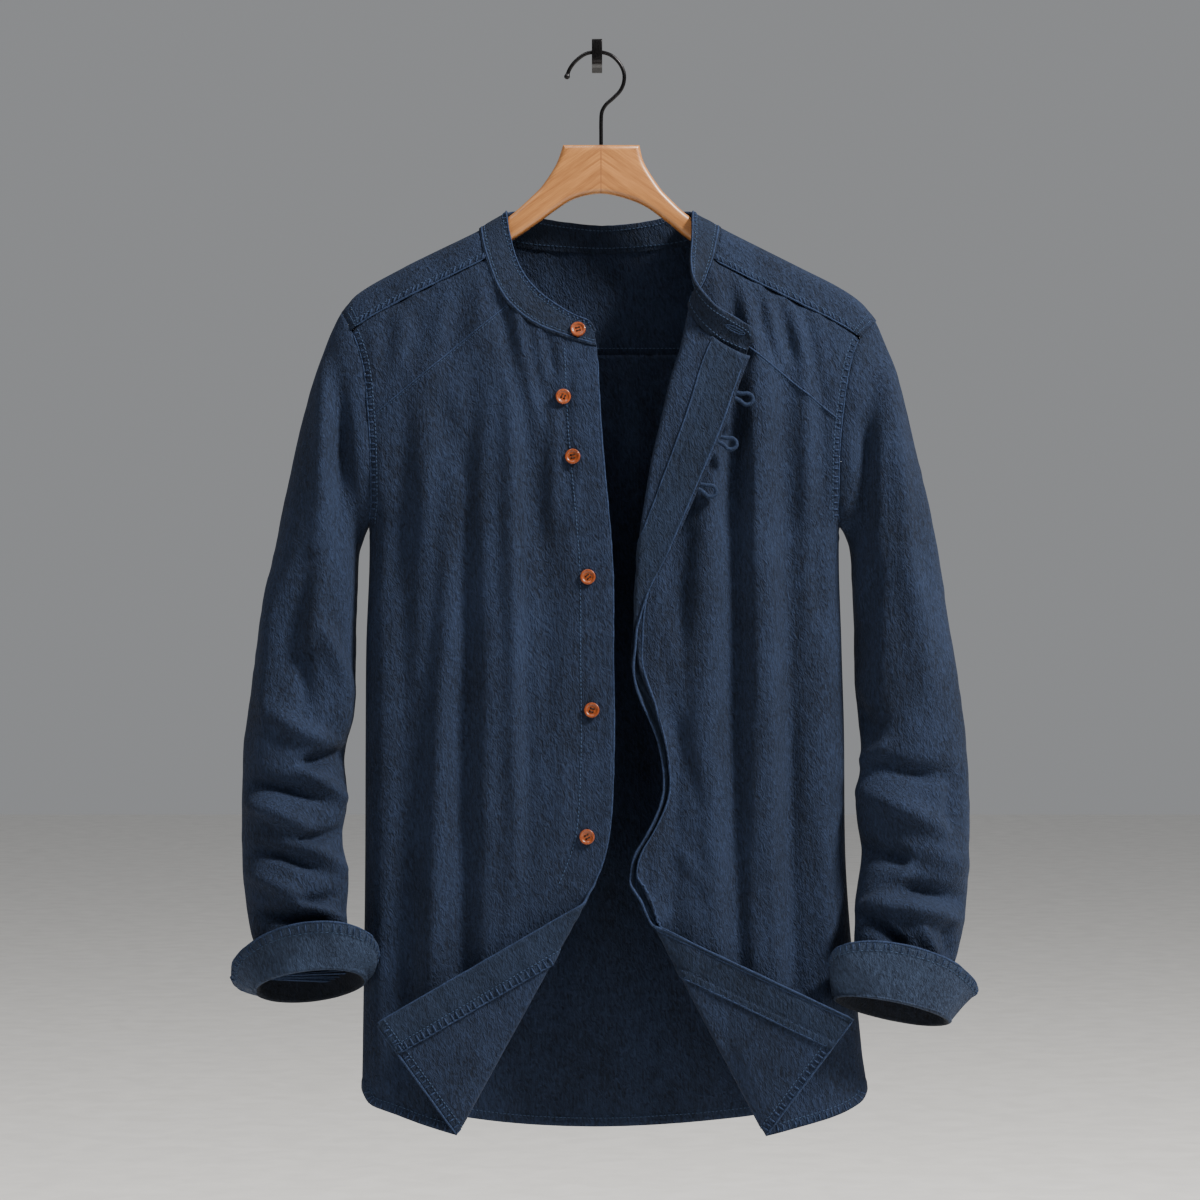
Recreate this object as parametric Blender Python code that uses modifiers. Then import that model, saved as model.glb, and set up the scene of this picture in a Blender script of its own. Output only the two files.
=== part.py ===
"""Mandarin collar shirt on a wooden hanger: the construction model.

Units are metres and Z is up. The tables and named sizes are in millimetres, and MM turns them to
metres. X runs from the wearer's right (-X) to the wearer's left (+X), and the front faces -Y.
The origin is the middle of the wall hook's flat back, so the wall is the plane Y = 0.

A panel is drawn flat, as a grid of points in the front view (x, z). Its turned edge and its turned
corner are rolled over a fold there, and a surface function gives each point its depth.
"""
import math
from collections import namedtuple

import bmesh
import bpy
import numpy as np
from mathutils import Vector

MM = 0.001
NAME = "mandarin_collar_shirt"

# --- driving dimensions, mm -------------------------------------------------------------------
WALL = 1.5            # cloth
FACING_WALL = 1.1
FACING_GAP = 0.7      # between a front and its facing
COLLAR_WALL = 2.2
SEAM = 0.4            # gap between two pieces at a seam
COLLAR_GAP = 1.0      # the same at the collar, whose seam bends most
HANGER_Y = -44.0      # depth of the hanger's middle plane, from the wall
RIDGE_RADIUS = 9.5    # of the cloth where it goes over the hanger
FOLD_RADIUS = 3.0     # inside a turned edge
FACING_LOW = 0.6      # how far the facing's top edge stays under the neckline
FACING_WIDTH = 31.0
PEEK = 3.2            # of the left facing past the wavy edge
BUTTON_RADIUS = 6.3
BUTTON_THICK = 2.6
LOOP_CORD = 3.0
HOOK_WIRE = 3.2
WALL_HOOK_WIDTH = 8.7
WALL_HOOK_ROUND = 0.5
NOSE_CLEAR = 1.2      # between the hanger's wire and the wall hook's nose
HANGER_THICK = 12.5
HANGER_ROUND = 4.4    # of the wood's edges
HANGER_CLEAR = 3.6    # from the top of the cloth down to the wood
CUFF_FOLD = 3.2       # radius of a cuff's turned edge
SIDE_POWER = 2.5      # how square the torso's section is at the side seam

# --- tables, mm: a row for each height, point or fold -------------------------------------------
Torso = namedtuple("Torso", "z right left front back")   # side seams, and depth each way
TORSO = (             # above the underarm the sides are the ones that the armhole cuts off
    Torso(-140, -330, 336, 50, 34),
    Torso(-218, -300, 306, 50, 35),
    Torso(-260, -270, 278, 50, 36),
    Torso(-300, -245, 254, 51, 36),
    Torso(-350, -219, 229, 51, 36),
    Torso(-385, -198, 209, 51, 36),
    Torso(-400, -191, 203, 51, 36),
    Torso(-500, -193.5, 205, 51, 35),
    Torso(-565, -194, 207, 51, 34),
    Torso(-690, -194.5, 209, 51, 33),
    Torso(-837, -196.5, 222, 50, 32),
    Torso(-869, -197, 226.5, 50, 32),
    Torso(-915, -197, 229, 50, 32),
)
FRONT_SLOPE = 70.0    # how far below the shoulder the front reaches most of its depth
BACK_SLOPE = 45.0

Point = namedtuple("Point", "x z")
RIDGE = (             # top of the shoulders; between the neck points it is only a guide
    Point(-245, -262), Point(-215, -219), Point(-201, -203), Point(-163, -181), Point(-138, -168.5),
    Point(-97, -148.5), Point(-50, -122), Point(3, -102), Point(56, -121), Point(102.5, -146.5),
    Point(136, -163.5), Point(174, -182.5), Point(202.5, -197), Point(221.5, -210),
    Point(235, -226), Point(262, -268),
)
Armhole = namedtuple("Armhole", "z right left")
ARMHOLE = (
    Armhole(-216, -216, 240), Armhole(-226, -210, 234), Armhole(-241, -202.5, 220),
    Armhole(-263, -195.5, 211.5), Armhole(-292, -191.7, 206.5), Armhole(-330, -189.2, 202.5),
    Armhole(-378, -188.6, 201.8), Armhole(-398, -191, 203),
)
SHOULDER_Z = {"right": -218.5, "left": -226.5}
UNDERARM_Z = -398.0
UNDERARM_EASE = 0.6   # more gap at the side seams, just under the armhole
YOKE_DROP = {"right": 28.0, "left": 32.0}    # front yoke seam below the ridge
YOKE_BACK_Z = -252.0
NECK_LEAN = 6.0       # how far the yoke's columns spread under the neck points
NECK_POINT = {"right": Point(-97.9, -147.9), "left": Point(102.9, -146.9)}
NECK_RIGHT = (        # neckline of the right front, from the shoulder to the front edge
    Point(-97.9, -147.9), Point(-93, -171), Point(-82.2, -200), Point(-68, -219),
    Point(-47.3, -233.2), Point(0, -249),
)
NECK_LEFT = (         # neckline of the left front, from the shoulder to the roll of the lapel
    Point(102.9, -146.9), Point(100.4, -162), Point(97, -176), Point(88, -198.4), Point(79.5, -212),
)
NECK_BACK = (         # back neckline, from the right shoulder to the left
    Point(-97.9, -147.9), Point(-97, -154), Point(-85, -158), Point(-69, -161), Point(-48, -164),
    Point(3, -166.5), Point(46, -164.5), Point(70, -161.5), Point(90, -157.5), Point(102, -153),
    Point(102.9, -146.9),
)
EDGE_RIGHT = (        # front edge of the right front, down to the corner's fold
    Point(0, -249), Point(3.3, -319), Point(12.5, -427), Point(13.3, -507), Point(14, -568),
    Point(12.4, -627), Point(8.3, -664), Point(-1, -692), Point(-8.3, -708.8),
)
EDGE_LEFT = (         # fold of the lapel, then the wavy front edge, down to the corner's fold
    Point(79.5, -212), Point(72.5, -245), Point(64, -273), Point(56.5, -307), Point(49, -341),
    Point(42.3, -382.5), Point(38.5, -410), Point(34, -460), Point(31.8, -493), Point(33, -517),
    Point(44, -547), Point(53, -579), Point(56.4, -607.5), Point(54, -627.5), Point(44, -650),
    Point(31.5, -672), Point(28.6, -690), Point(31.5, -708), Point(44.8, -727),
)
HEM_RIGHT = (         # from the corner's fold to the side seam
    Point(-115, -904), Point(-143, -896), Point(-171, -886.5), Point(-190, -880), Point(-197, -868),
)
HEM_LEFT = (
    Point(138.6, -904.7), Point(171.8, -896.4), Point(202.5, -887.5), Point(220.8, -878),
    Point(226.5, -868),
)
HEM_BACK = (
    Point(-197, -868), Point(-172, -884), Point(-109, -898), Point(-39, -905), Point(36, -905),
    Point(126, -897), Point(205, -882), Point(226.5, -868),
)
Lapel = namedtuple("Lapel", "z width")      # how far the left front is turned out, past its fold
LAPEL = (
    Lapel(-205, 59), Lapel(-255, 58.5), Lapel(-288, 55), Lapel(-329.5, 49), Lapel(-363.5, 40.5),
    Lapel(-417.5, 25), Lapel(-452, 11), Lapel(-483, 4),
)
LapelTop = namedtuple("LapelTop", "d z")    # neckline of the turned part, from the fold outwards
LAPEL_TOP = (
    LapelTop(0, -212), LapelTop(9.5, -223), LapelTop(23, -238), LapelTop(37, -248),
    LapelTop(56, -256.5), LapelTop(70, -258),
)
LAPEL_LEVEL_Z = -420.0    # below this the lapel's rows run level
LAPEL_RISE = 0.10     # how far the lapel stands off the front, for each mm past its roll
CURL_END_Z = -612.0   # the lapel has run out into a plain edge here
CORNER_ZONE_Z = -680.0    # what turns at the corner's fold is below this
PEEK_START = (-590.0, -625.0)    # where the left facing begins to show past the edge, and where
PEEK_END = (-735.0, -700.0)      # it is hidden again
Corner = namedtuple("Corner", "top bottom tip rise")   # fold of a turned corner, and its tip
CORNER = {
    "right": Corner(Point(-8.3, -708.8), Point(-115, -904), Point(-182, -808.5), 0.16),
    "left": Corner(Point(44.8, -727), Point(138.6, -904.7), Point(211.5, -805), 0.13),
}
FRONT_YOKE_SEAM = {   # the slanting seam under each shoulder, from the neckline to the armhole
    "right": (Point(-74, -214), Point(-188.6, -308)),
    "left": (Point(79.5, -212), Point(204, -312)),
}

Fold = namedtuple("Fold", "x_top x_low z_top z_low width out")   # a soft fold down a panel
FRONT_FOLDS = (
    Fold(-128, -160, -300, -900, 9, -3.2), Fold(-112, -140, -240, -860, 11, 2.6),
    Fold(-104, -112, -260, -880, 9, -3.0), Fold(-72, -64, -235, -700, 11, 2.6),
    Fold(-62, -58, -262, -690, 8, -2.6),
    Fold(98, 100, -300, -900, 10, 2.8),
    Fold(112, 120, -200, -880, 8, -3.2), Fold(128, 134, -205, -560, 6, 2.2),
    Fold(140, 150, -205, -890, 9, 3.0), Fold(154, 164, -212, -880, 8, -3.2),
    Fold(172, 178, -220, -520, 7, 2.4), Fold(187, 190, -228, -480, 7, -2.4),
)
BACK_FOLDS = (
    Fold(-150, -158, -270, -900, 13, -3.2), Fold(-118, -120, -256, -880, 12, 3.0),
    Fold(-82, -74, -262, -890, 12, -3.0), Fold(-40, -30, -256, -900, 14, 2.6),
    Fold(6, 10, -260, -880, 12, -2.6), Fold(48, 52, -256, -900, 13, 3.0),
    Fold(92, 98, -260, -890, 12, -3.2), Fold(136, 146, -262, -880, 12, 3.0),
    Fold(170, 186, -270, -860, 11, -2.8),
)

# a tube's cross-sections: its outer and inner edge in the front view, how far each lies from the
# hanger's plane, half its depth, how much higher its front is than its middle, and how much
# lower its back is, where that is not the same
Ring = namedtuple("Ring", "outer inner y_outer y_inner depth lift dip", defaults=(None,))
SLEEVE = {
    "right": (
        Ring(Point(-228, -248), Point(-195, -407), 0, 0, 38, 0),
        Ring(Point(-243, -294), Point(-199.5, -421), 0, 0, 40, 0),
        Ring(Point(-257, -352), Point(-201, -444), 0, 0, 41, 0),
        Ring(Point(-270, -414), Point(-202, -481), -1, -1, 41, 0),
        Ring(Point(-281, -472), Point(-203, -517), -2, -2, 40, 0),
        Ring(Point(-289, -530), Point(-204, -553), -4, -4, 38, 1),
        Ring(Point(-296, -580), Point(-211, -590), -7, -7, 37, 2),
        Ring(Point(-297, -626), Point(-209, -626), -11, -11, 36, 4),
        Ring(Point(-297, -664), Point(-213, -658), -15, -16, 35, 6),
        Ring(Point(-294, -702), Point(-208, -692), -20, -22, 33, 8),
        Ring(Point(-288, -737), Point(-208, -724), -24, -28, 29, 10),
        Ring(Point(-280, -766), Point(-204, -757), -27, -33, 20, 11),
    ),
    "left": (
        Ring(Point(248, -262), Point(208, -407), 0, 0, 38, 0),
        Ring(Point(260, -302), Point(212.5, -421), 0, 0, 40, 0),
        Ring(Point(272, -352), Point(214, -446), 0, 0, 41, 0),
        Ring(Point(284, -408), Point(215, -481), -1, -1, 41, 0),
        Ring(Point(293, -466), Point(216, -517), -2, -2, 40, 0),
        Ring(Point(302, -522), Point(218, -553), -4, -4, 38, 1),
        Ring(Point(309, -576), Point(221, -590), -7, -7, 37, 2),
        Ring(Point(312, -626), Point(217, -634), -11, -12, 36, 4),
        Ring(Point(311, -668), Point(221, -672), -15, -18, 35, 6),
        Ring(Point(308, -710), Point(216, -706), -20, -26, 33, 8),
        Ring(Point(301, -750), Point(214, -736), -27, -39, 26, 8),
        Ring(Point(287, -797), Point(209, -778), -32, -45, 18, 7),
    ),
}
# a cuff's cross-sections: the sleeve's end, the fold, half way up, and the rim
CUFF = {
    "right": (
        Ring(Point(-280.2, -766.6), Point(-203.8, -757.6), -27, -33, 20.5, 11),
        Ring(Point(-284, -787), Point(-193, -776), -28, -37, 26, 15),
        Ring(Point(-297, -779), Point(-184, -765), -23, -41, 32, 27, 22),
        Ring(Point(-306, -774), Point(-181, -752), -20, -43, 36, 37, 30),
    ),
    "left": (
        Ring(Point(287.2, -797.6), Point(208.8, -778.6), -32, -45, 18.5, 7),
        Ring(Point(292, -812), Point(198, -791), -31, -49, 25, 10),
        Ring(Point(306, -797), Point(192.5, -774), -28, -57, 30, 20, 10),
        Ring(Point(317, -786), Point(191, -757), -26, -60, 33, 28, 12),
    ),
}
# soft creases round a sleeve: along it (0 to 1), slant, round it (turns; 0.25 is the front)
Crease = namedtuple("Crease", "along slant turn reach width out")
CREASES = (
    Crease(0.60, -0.06, 0.20, 0.16, 0.020, -4.0), Crease(0.66, 0.05, 0.28, 0.18, 0.020, 4.0),
    Crease(0.715, 0.04, 0.33, 0.17, 0.016, -5.5), Crease(0.76, 0.02, 0.18, 0.20, 0.016, 3.8),
    Crease(0.80, -0.05, 0.22, 0.20, 0.014, -4.5), Crease(0.845, 0.04, 0.24, 0.18, 0.014, 3.8),
    Crease(0.885, -0.03, 0.24, 0.20, 0.013, -4.0), Crease(0.62, 0.04, 0.72, 0.18, 0.022, -3.5),
    Crease(0.69, -0.04, 0.76, 0.18, 0.020, 3.2), Crease(0.75, 0.03, 0.74, 0.20, 0.018, -4.0),
    Crease(0.82, -0.03, 0.75, 0.20, 0.016, 3.0),
)

# the collar band: its seam, its top edge, and how far the top edge stands back from the seam
Band = namedtuple("Band", "layer x z top_x top_z back")
COLLAR = (
    Band("front", -0.5, -248.0, -4, -228, 5), Band("front", -20, -242.5, -19, -222.6, 7),
    Band("front", -47.3, -232.4, -38, -211, 8), Band("front", -68, -218, -53, -198, 8),
    Band("front", -82.2, -199.2, -65, -180, 8), Band("front", -93, -170, -72.5, -155, 5),
    Band("front", -96.8, -153, -75, -139, 0),
    Band("ridge", -97.4, -147.2, -75.5, -134, 0), Band("back", -96.6, -152.6, -74.5, -134, 0),
    Band("back", -84.5, -157, -67, -132.5, 0),
    Band("back", -69, -160, -56, -134.5, -1), Band("back", -48, -163, -41, -138.8, -2),
    Band("back", 3, -165.5, 5, -143.5, -2), Band("back", 46, -163.5, 46, -139.5, -2),
    Band("back", 70, -160.5, 62, -134.8, -1), Band("back", 89.5, -156.5, 73, -132.5, 0),
    Band("back", 101.6, -152, 79, -134, 0),
    Band("ridge", 102.4, -146.2, 80, -133.7, 0), Band("front", 101.8, -151.5, 79.5, -141, 0),
    Band("front", 99.7, -161.7, 79, -158, -6),
    Band("front", 96.2, -175.5, 77.5, -177, -12), Band("front", 87.2, -197.8, 79.5, -192, -20),
    Band("roll", 78, -211.5, 86, -203.5, -21), Band("turned", 80, -223, 96, -214.5, -12),
    Band("turned", 91.5, -237, 107, -222, -8), Band("turned", 105, -247, 119, -228.5, -7),
    Band("turned", 124, -255.6, 131.5, -236, -6),
)

BUTTONS = (           # places down the right front; the first is on the collar
    Point(-15.8, -235.7), Point(-28.2, -291.3), Point(-19.9, -341), Point(-7.5, -440.7),
    Point(-4.2, -551), Point(-8.3, -655.7),
)
LOOP_HEIGHTS = (-290.5, -327, -366)
LOOP_OUTLINE = (      # from the lapel's edge: out, across
    Point(0.55, 2.2), Point(5.6, 3.0), Point(10.2, 4.7), Point(14.2, 3.4), Point(15.8, 0),
    Point(14.2, -3.4), Point(10.2, -4.7), Point(5.6, -3.0), Point(0.55, -2.2),
)
HOOK_PATH = (         # hanger hook, from its tip to the wood
    Point(-25.6, -22.5), Point(-24.6, -18), Point(-22.4, -13), Point(-18, -7.4), Point(-11, -2.0),
    Point(-4, 0.1), Point(4, 0.1), Point(12, -2.6), Point(18.6, -8.8), Point(22.4, -16.5),
    Point(22.6, -24.5), Point(19.6, -32), Point(13.5, -38.5), Point(7.6, -43.8), Point(4.1, -50),
    Point(3.4, -58), Point(3.4, -68), Point(3.4, -77.5),
)
HOOK_BALL = (0.8, 1.5, 1.15)            # thickness of its tip, in wire radii
Strap = namedtuple("Strap", "start y z")    # y is from the wall, or from the back of the nose
WALL_HOOK = (
    Strap("wall", 0, -12), Strap("wall", 0, 12), Strap("wall", -3, 12), Strap("wall", -3, -2.3),
    Strap("nose", 0, -2.3), Strap("nose", 0, 9.3), Strap("nose", -1.6, 10.8),
    Strap("nose", -3.4, 9.3), Strap("nose", -3.4, -6.5), Strap("nose", -1.4, -9.6),
    Strap("nose", 2.2, -10.8), Strap("nose", 5.5, -9.4), Strap("wall", -9, -8.6),
    Strap("wall", -3.6, -12),
)
HANGER_MIDDLE_TOP = (                   # upper edge of the wood between its two arms
    Point(-76, -139.6), Point(-53, -119.5), Point(-44, -109.5), Point(-34, -93.5),
    Point(-28.5, -78), Point(35.5, -78), Point(39.5, -93),
    Point(50, -110), Point(59.5, -121.5), Point(80, -139.6),
)
HANGER_MIDDLE_LOW = (
    Point(79, -158.5), Point(60.6, -144), Point(42, -130.3), Point(24, -122.8), Point(3.3, -118.7),
    Point(-18.3, -122.8), Point(-34, -132), Point(-50.6, -144), Point(-72.2, -158.5),
)
HANGER_ARM_X = {"right": (-105, -130, -155, -180, -198), "left": (110, 135, 160, 185, 205, 217)}
HANGER_ARM_HEIGHT = 20.0

# --- resolution -------------------------------------------------------------------------------
PANEL_COLUMNS = 15
PANEL_ROWS = 28
NECK_SPANS = {"right": 7, "left": 4}    # of a front's columns, how many end on the neckline
LAPEL_COLUMNS = 3      # past the roll, which has 4 of its own
BACK_COLUMNS = 11      # in each half
BACK_ROWS = 18
SLEEVE_SIDES = 20
SLEEVE_RINGS = 23
COLLAR_COLUMNS = 44
COLLAR_ROWS = 3
# shares across and down a piece, which crowd where the cloth turns away
SIDE_CROWD = (0.955, 0.985, 0.9985, 1.0)
YOKE_FRONT_DROPS = (1.0, 0.62, 0.3, 0.12, 0.03)
YOKE_BACK_SHARES = (0.0, 0.012, 0.05, 0.13, 0.3, 0.55, 0.78, 1.0)
YOKE_SHOULDER = (0, 0.08, 0.2, 0.4, 0.6, 0.8, 1.0)
YOKE_NECK = (0.028, 0.085, 0.18, 0.29, 0.4, 0.5, 0.6, 0.71, 0.82, 0.915, 0.972)


# --- curves through tables ----------------------------------------------------------------------
def follow(rows, key, value, at):
    """Column `value` of a table where column `key` is `at`, on a smooth curve through the rows."""
    keys = [getattr(row, key) for row in rows]
    values = [getattr(row, value) for row in rows]
    if keys[0] > keys[-1]:
        keys, values = keys[::-1], values[::-1]
    at = min(max(at, keys[0]), keys[-1])
    i = min(max(int(np.searchsorted(keys, at)) - 1, 0), len(keys) - 2)
    span = keys[i + 1] - keys[i]
    slope = [0.0, 0.0]
    for end in (0, 1):
        low, high = max(i + end - 1, 0), min(i + end + 1, len(keys) - 1)
        slope[end] = (values[high] - values[low]) / (keys[high] - keys[low]) * span
    t = (at - keys[i]) / span
    return ((2 * t**3 - 3 * t**2 + 1) * values[i] + (t**3 - 2 * t**2 + t) * slope[0]
            + (3 * t**2 - 2 * t**3) * values[i + 1] + (t**3 - t**2) * slope[1])


def spline(points, per_span=8):
    """A smooth run of points through the given ones (tuples of 2 or 3 numbers)."""
    given = [np.array(p, dtype=float) for p in points]
    out = []
    for i in range(len(given) - 1):
        before = given[max(i - 1, 0)]
        after = given[min(i + 2, len(given) - 1)]
        for step in range(per_span):
            t = step / per_span
            a, b = (given[i + 1] - before) / 2, (after - given[i]) / 2
            out.append((2 * t**3 - 3 * t**2 + 1) * given[i] + (t**3 - 2 * t**2 + t) * a
                       + (3 * t**2 - 2 * t**3) * given[i + 1] + (t**3 - t**2) * b)
    out.append(given[-1])
    return out


def along(run, shares):
    """Points at the given shares (0 to 1) of a run's length."""
    run = np.array(run)
    reach = np.concatenate(([0.0], np.cumsum(np.linalg.norm(np.diff(run, axis=0), axis=1))))
    return [np.array([np.interp(share * reach[-1], reach, run[:, axis])
                      for axis in range(run.shape[1])]) for share in shares]


def in_step(run, shares):
    """Points at the given shares (0 to 1) of a run's own count of points."""
    run = np.array(run)
    at = np.array(shares) * (len(run) - 1)
    return list(np.stack([np.interp(at, range(len(run)), run[:, axis])
                          for axis in range(run.shape[1])], axis=1))


def soft_step(low, high, at):
    t = min(max((at - low) / (high - low), 0.0), 1.0)
    return t * t * (3 - 2 * t)


# --- the torso's surface ------------------------------------------------------------------------
def ridge_z(x):
    return follow(RIDGE, "x", "z", x)


def side_share(x, z):
    """1 in the middle of the torso, falling to 0 at its side seam."""
    right, left = follow(TORSO, "z", "right", z), follow(TORSO, "z", "left", z)
    u = min(abs(x - (left + right) / 2) / ((left - right) / 2), 1.0)
    return (1 - u**SIDE_POWER) ** (1 / SIDE_POWER)


def fold_depth(folds, x, z):
    """How far the soft folds stand out of the plain surface."""
    out = 0.0
    for fold in folds:
        t = (fold.z_top - z) / (fold.z_top - fold.z_low)
        if 0 < t < 1:
            middle = fold.x_top + (fold.x_low - fold.x_top) * t
            fade = math.sin(math.pi * t) ** 0.6
            out += fold.out * fade * math.exp(-((x - middle) / fold.width) ** 2)
    return out


def layer_y(layer, x, z, plain=False):
    """Depth of the front or back layer's outer surface at a place in the front view."""
    sign, slope, folds = (-1, FRONT_SLOPE, FRONT_FOLDS) if layer == "front" else \
                         (1, BACK_SLOPE, BACK_FOLDS)
    drop = max(ridge_z(x) - z, 0.0)
    over = RIDGE_RADIUS * math.sqrt(1 - (1 - min(drop / RIDGE_RADIUS, 1.0)) ** 2)
    fall = (follow(TORSO, "z", layer, z) - RIDGE_RADIUS) * (1 - math.exp(-drop / slope))
    share = 1.0 if plain else side_share(x, z)
    fade = 0.0 if plain else soft_step(8, 45, drop) * soft_step(0.25, 0.75, share)
    depth = over * share**0.2 + fall * share + fade * fold_depth(folds, x, z)
    ease = UNDERARM_EASE * soft_step(-385, -395, z) * soft_step(-460, -425, z)
    return HANGER_Y + sign * (depth + (0 if drop < 0.01 else SEAM / 2 + ease))


def armhole_point(side, z, layer):
    x = follow(ARMHOLE, "z", side, z)
    return x, layer_y(layer, x, z)


# --- mesh helpers -------------------------------------------------------------------------------
def material(name, colour, roughness, metallic=0.0):
    made = bpy.data.materials.new(name)
    made.use_nodes = True
    shader = made.node_tree.nodes["Principled BSDF"]
    shader.inputs["Base Color"].default_value = (*colour, 1)
    shader.inputs["Roughness"].default_value = roughness
    shader.inputs["Metallic"].default_value = metallic
    return made


def add_object(name, mesh, finish):
    made = bpy.data.objects.new(name, mesh)
    PARTS.objects.link(made)
    mesh.materials.append(material(name, *finish))
    return made


def sheet_object(name, bm, finish, wall):
    """A cloth piece: an open surface in mm, outer side out, with its wall turned inwards."""
    bmesh.ops.remove_doubles(bm, verts=bm.verts[:], dist=0.12)
    bmesh.ops.scale(bm, vec=(MM, MM, MM), verts=bm.verts[:])
    mesh = bpy.data.meshes.new(name)
    bm.to_mesh(mesh)
    bm.free()
    mesh.shade_smooth()
    made = add_object(name, mesh, finish)
    shell = made.modifiers.new("wall", "SOLIDIFY")
    shell.thickness = wall * MM
    shell.offset = -1
    shell.use_even_offset = False
    return made


def grid_faces(bm, grid, closed=False, keep=lambda row, column: True):
    """Faces between the rows of a grid of points; `closed` joins the last column to the first."""
    verts = [[bm.verts.new(point) for point in row] for row in grid]
    width = len(grid[0])
    for i in range(len(grid) - 1):
        for j in range(width if closed else width - 1):
            k = (j + 1) % width
            if keep(i, j):
                bm.faces.new((verts[i][j], verts[i][k], verts[i + 1][k], verts[i + 1][j]))
    return verts


def coons(top, low, inner, outer, columns_at, rows):
    """A grid between four runs: rows from the top run to the low one; `columns_at` gives a row's
    shares between the inner and the outer run. The top run's points are in step with them."""
    inner_at, outer_at = along(inner, rows), along(outer, rows)
    grid = []
    for i, t in enumerate(rows):
        columns = columns_at(outer_at[i][1])
        top_at, low_at = in_step(top, [0, *columns, 1]), along(low, [0, *columns, 1])
        row = []
        for j, s in enumerate(columns, 1):
            corners = ((1 - s) * (1 - t) * top_at[0] + s * (1 - t) * top_at[-1]
                       + (1 - s) * t * low_at[0] + s * t * low_at[-1])
            row.append((1 - t) * top_at[j] + t * low_at[j] + (1 - s) * inner_at[i]
                       + s * outer_at[i] - corners)
        grid.append(row)
    return grid


def side_columns(count, z):
    """Shares across a panel, which crowd towards its side seam below the underarm, where the
    cloth turns away."""
    even = [j / (count - 1) for j in range(count)]
    crowded = [j / (count - 4) for j in range(count - 4)] + list(SIDE_CROWD)
    share = soft_step(UNDERARM_Z + 16, UNDERARM_Z, z)
    return [a + (b - a) * share for a, b in zip(even, crowded)]


# --- fronts -------------------------------------------------------------------------------------
def fold_frame(side):
    """A turned corner's fold: a point on it, its direction, and the way to the flat tip."""
    corner = CORNER[side]
    top, low, tip = (np.array(p, dtype=float) for p in corner[:3])
    run = (low - top) / np.linalg.norm(low - top)
    across = np.array((run[1], -run[0]))
    if np.dot(tip - top, across) > 0:
        across = -across
    return top - across * (FOLD_RADIUS + WALL), run, across


def flat_tip(side):
    """Where a turned corner's tip lies before the corner is turned."""
    start, run, across = fold_frame(side)
    tip = np.array(CORNER[side].tip, dtype=float) - start
    return start + run * np.dot(tip, run) - across * np.dot(tip, across) \
        + across * math.pi * FOLD_RADIUS


def roll(distance):
    """In-plane place and lift of a point this far past a fold, and how far past the roll it is."""
    turn = distance / FOLD_RADIUS
    if turn < math.pi:
        return FOLD_RADIUS * math.sin(turn), FOLD_RADIUS * (1 - math.cos(turn)), 0.0
    beyond = distance - math.pi * FOLD_RADIUS
    return -beyond, 2 * FOLD_RADIUS, beyond


def lapel_sink(z):
    """How far the lapel's free edge hangs below its fold, for a fold point at this height."""
    top = LAPEL_TOP[0].z
    return (LAPEL_TOP[-1].z - top) * (1 - soft_step(top, LAPEL_LEVEL_Z, z))


def lapel_reach(z):
    """Flat width of the left front past its lapel fold, for a fold point at this height."""
    if z <= CURL_END_Z:
        return 0.0
    free_z = max(z + lapel_sink(z), LAPEL[-1].z)
    free_x = follow(EDGE_LEFT, "z", "x", free_z) + follow(LAPEL, "z", "width", free_z)
    if z >= LAPEL[-1].z:
        return free_x - follow(EDGE_LEFT, "z", "x", z) + math.pi * FOLD_RADIUS
    last = LAPEL[-1].width + math.pi * FOLD_RADIUS
    return last * (1 - soft_step(LAPEL[-1].z, CURL_END_Z, z))


def place_front(side, flat_x, flat_z, fold_x=None):
    """A flat point of a front panel, turned at its folds and given its depth."""
    x, z, lift, loose = flat_x, flat_z, 0.0, 0.0
    if fold_x is not None and flat_x < fold_x:
        shift, lift, beyond = roll(fold_x - flat_x)
        x = fold_x - shift
        lift += LAPEL_RISE * beyond
        loose = min(beyond / 8, 1.0)
    start, _, across = fold_frame(side)
    past = np.dot(np.array((x, z)) - start, across)
    if past > 0 and z < CORNER_ZONE_Z:
        shift, lift, beyond = roll(past)
        x, z = np.array((x, z)) + across * (shift - past)
        lift += CORNER[side].rise * beyond
        loose = min(past / 20, 1.0)
    y = layer_y("front", x, z)
    if loose > 0:
        y += (layer_y("front", x, z, plain=True) - y) * loose
    return Vector((x, y - lift, z))


def front_outline(side):
    """Flat runs round a front panel: top, hem, front edge (or lapel fold), armhole and side."""
    drop = YOKE_DROP[side]
    neck = NECK_RIGHT if side == "right" else NECK_LEFT
    edge = EDGE_RIGHT if side == "right" else EDGE_LEFT
    hem = HEM_RIGHT if side == "right" else HEM_LEFT
    neck_run = [p for p in spline(neck) if p[1] < ridge_z(p[0]) - drop]
    armhole_top = armhole_below(side, drop)
    seam_x = np.linspace(neck_end(side, drop), armhole_top[0], 14)
    seam_run = [np.array((x, ridge_z(x) - drop)) for x in seam_x]
    seam_run[-1] = armhole_top
    spans = PANEL_COLUMNS - 1
    neck_spans = NECK_SPANS[side]
    top = (along(neck_run[::-1] + seam_run[:1], [i / neck_spans for i in range(neck_spans)])
           + along(seam_run, [i / (spans - neck_spans) for i in range(spans - neck_spans + 1)]))
    tip = flat_tip(side)
    inner = spline(edge) + [tip]
    low = [tip] + spline(hem)
    heights = np.linspace(armhole_top[1], UNDERARM_Z, 16)
    outer = [np.array((follow(ARMHOLE, "z", side, z), z)) for z in heights]
    outer += [np.array((follow(TORSO, "z", side, z), z))
              for z in np.linspace(UNDERARM_Z - 6, hem[-1].z, 40)]
    return top, low, inner, outer


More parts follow.
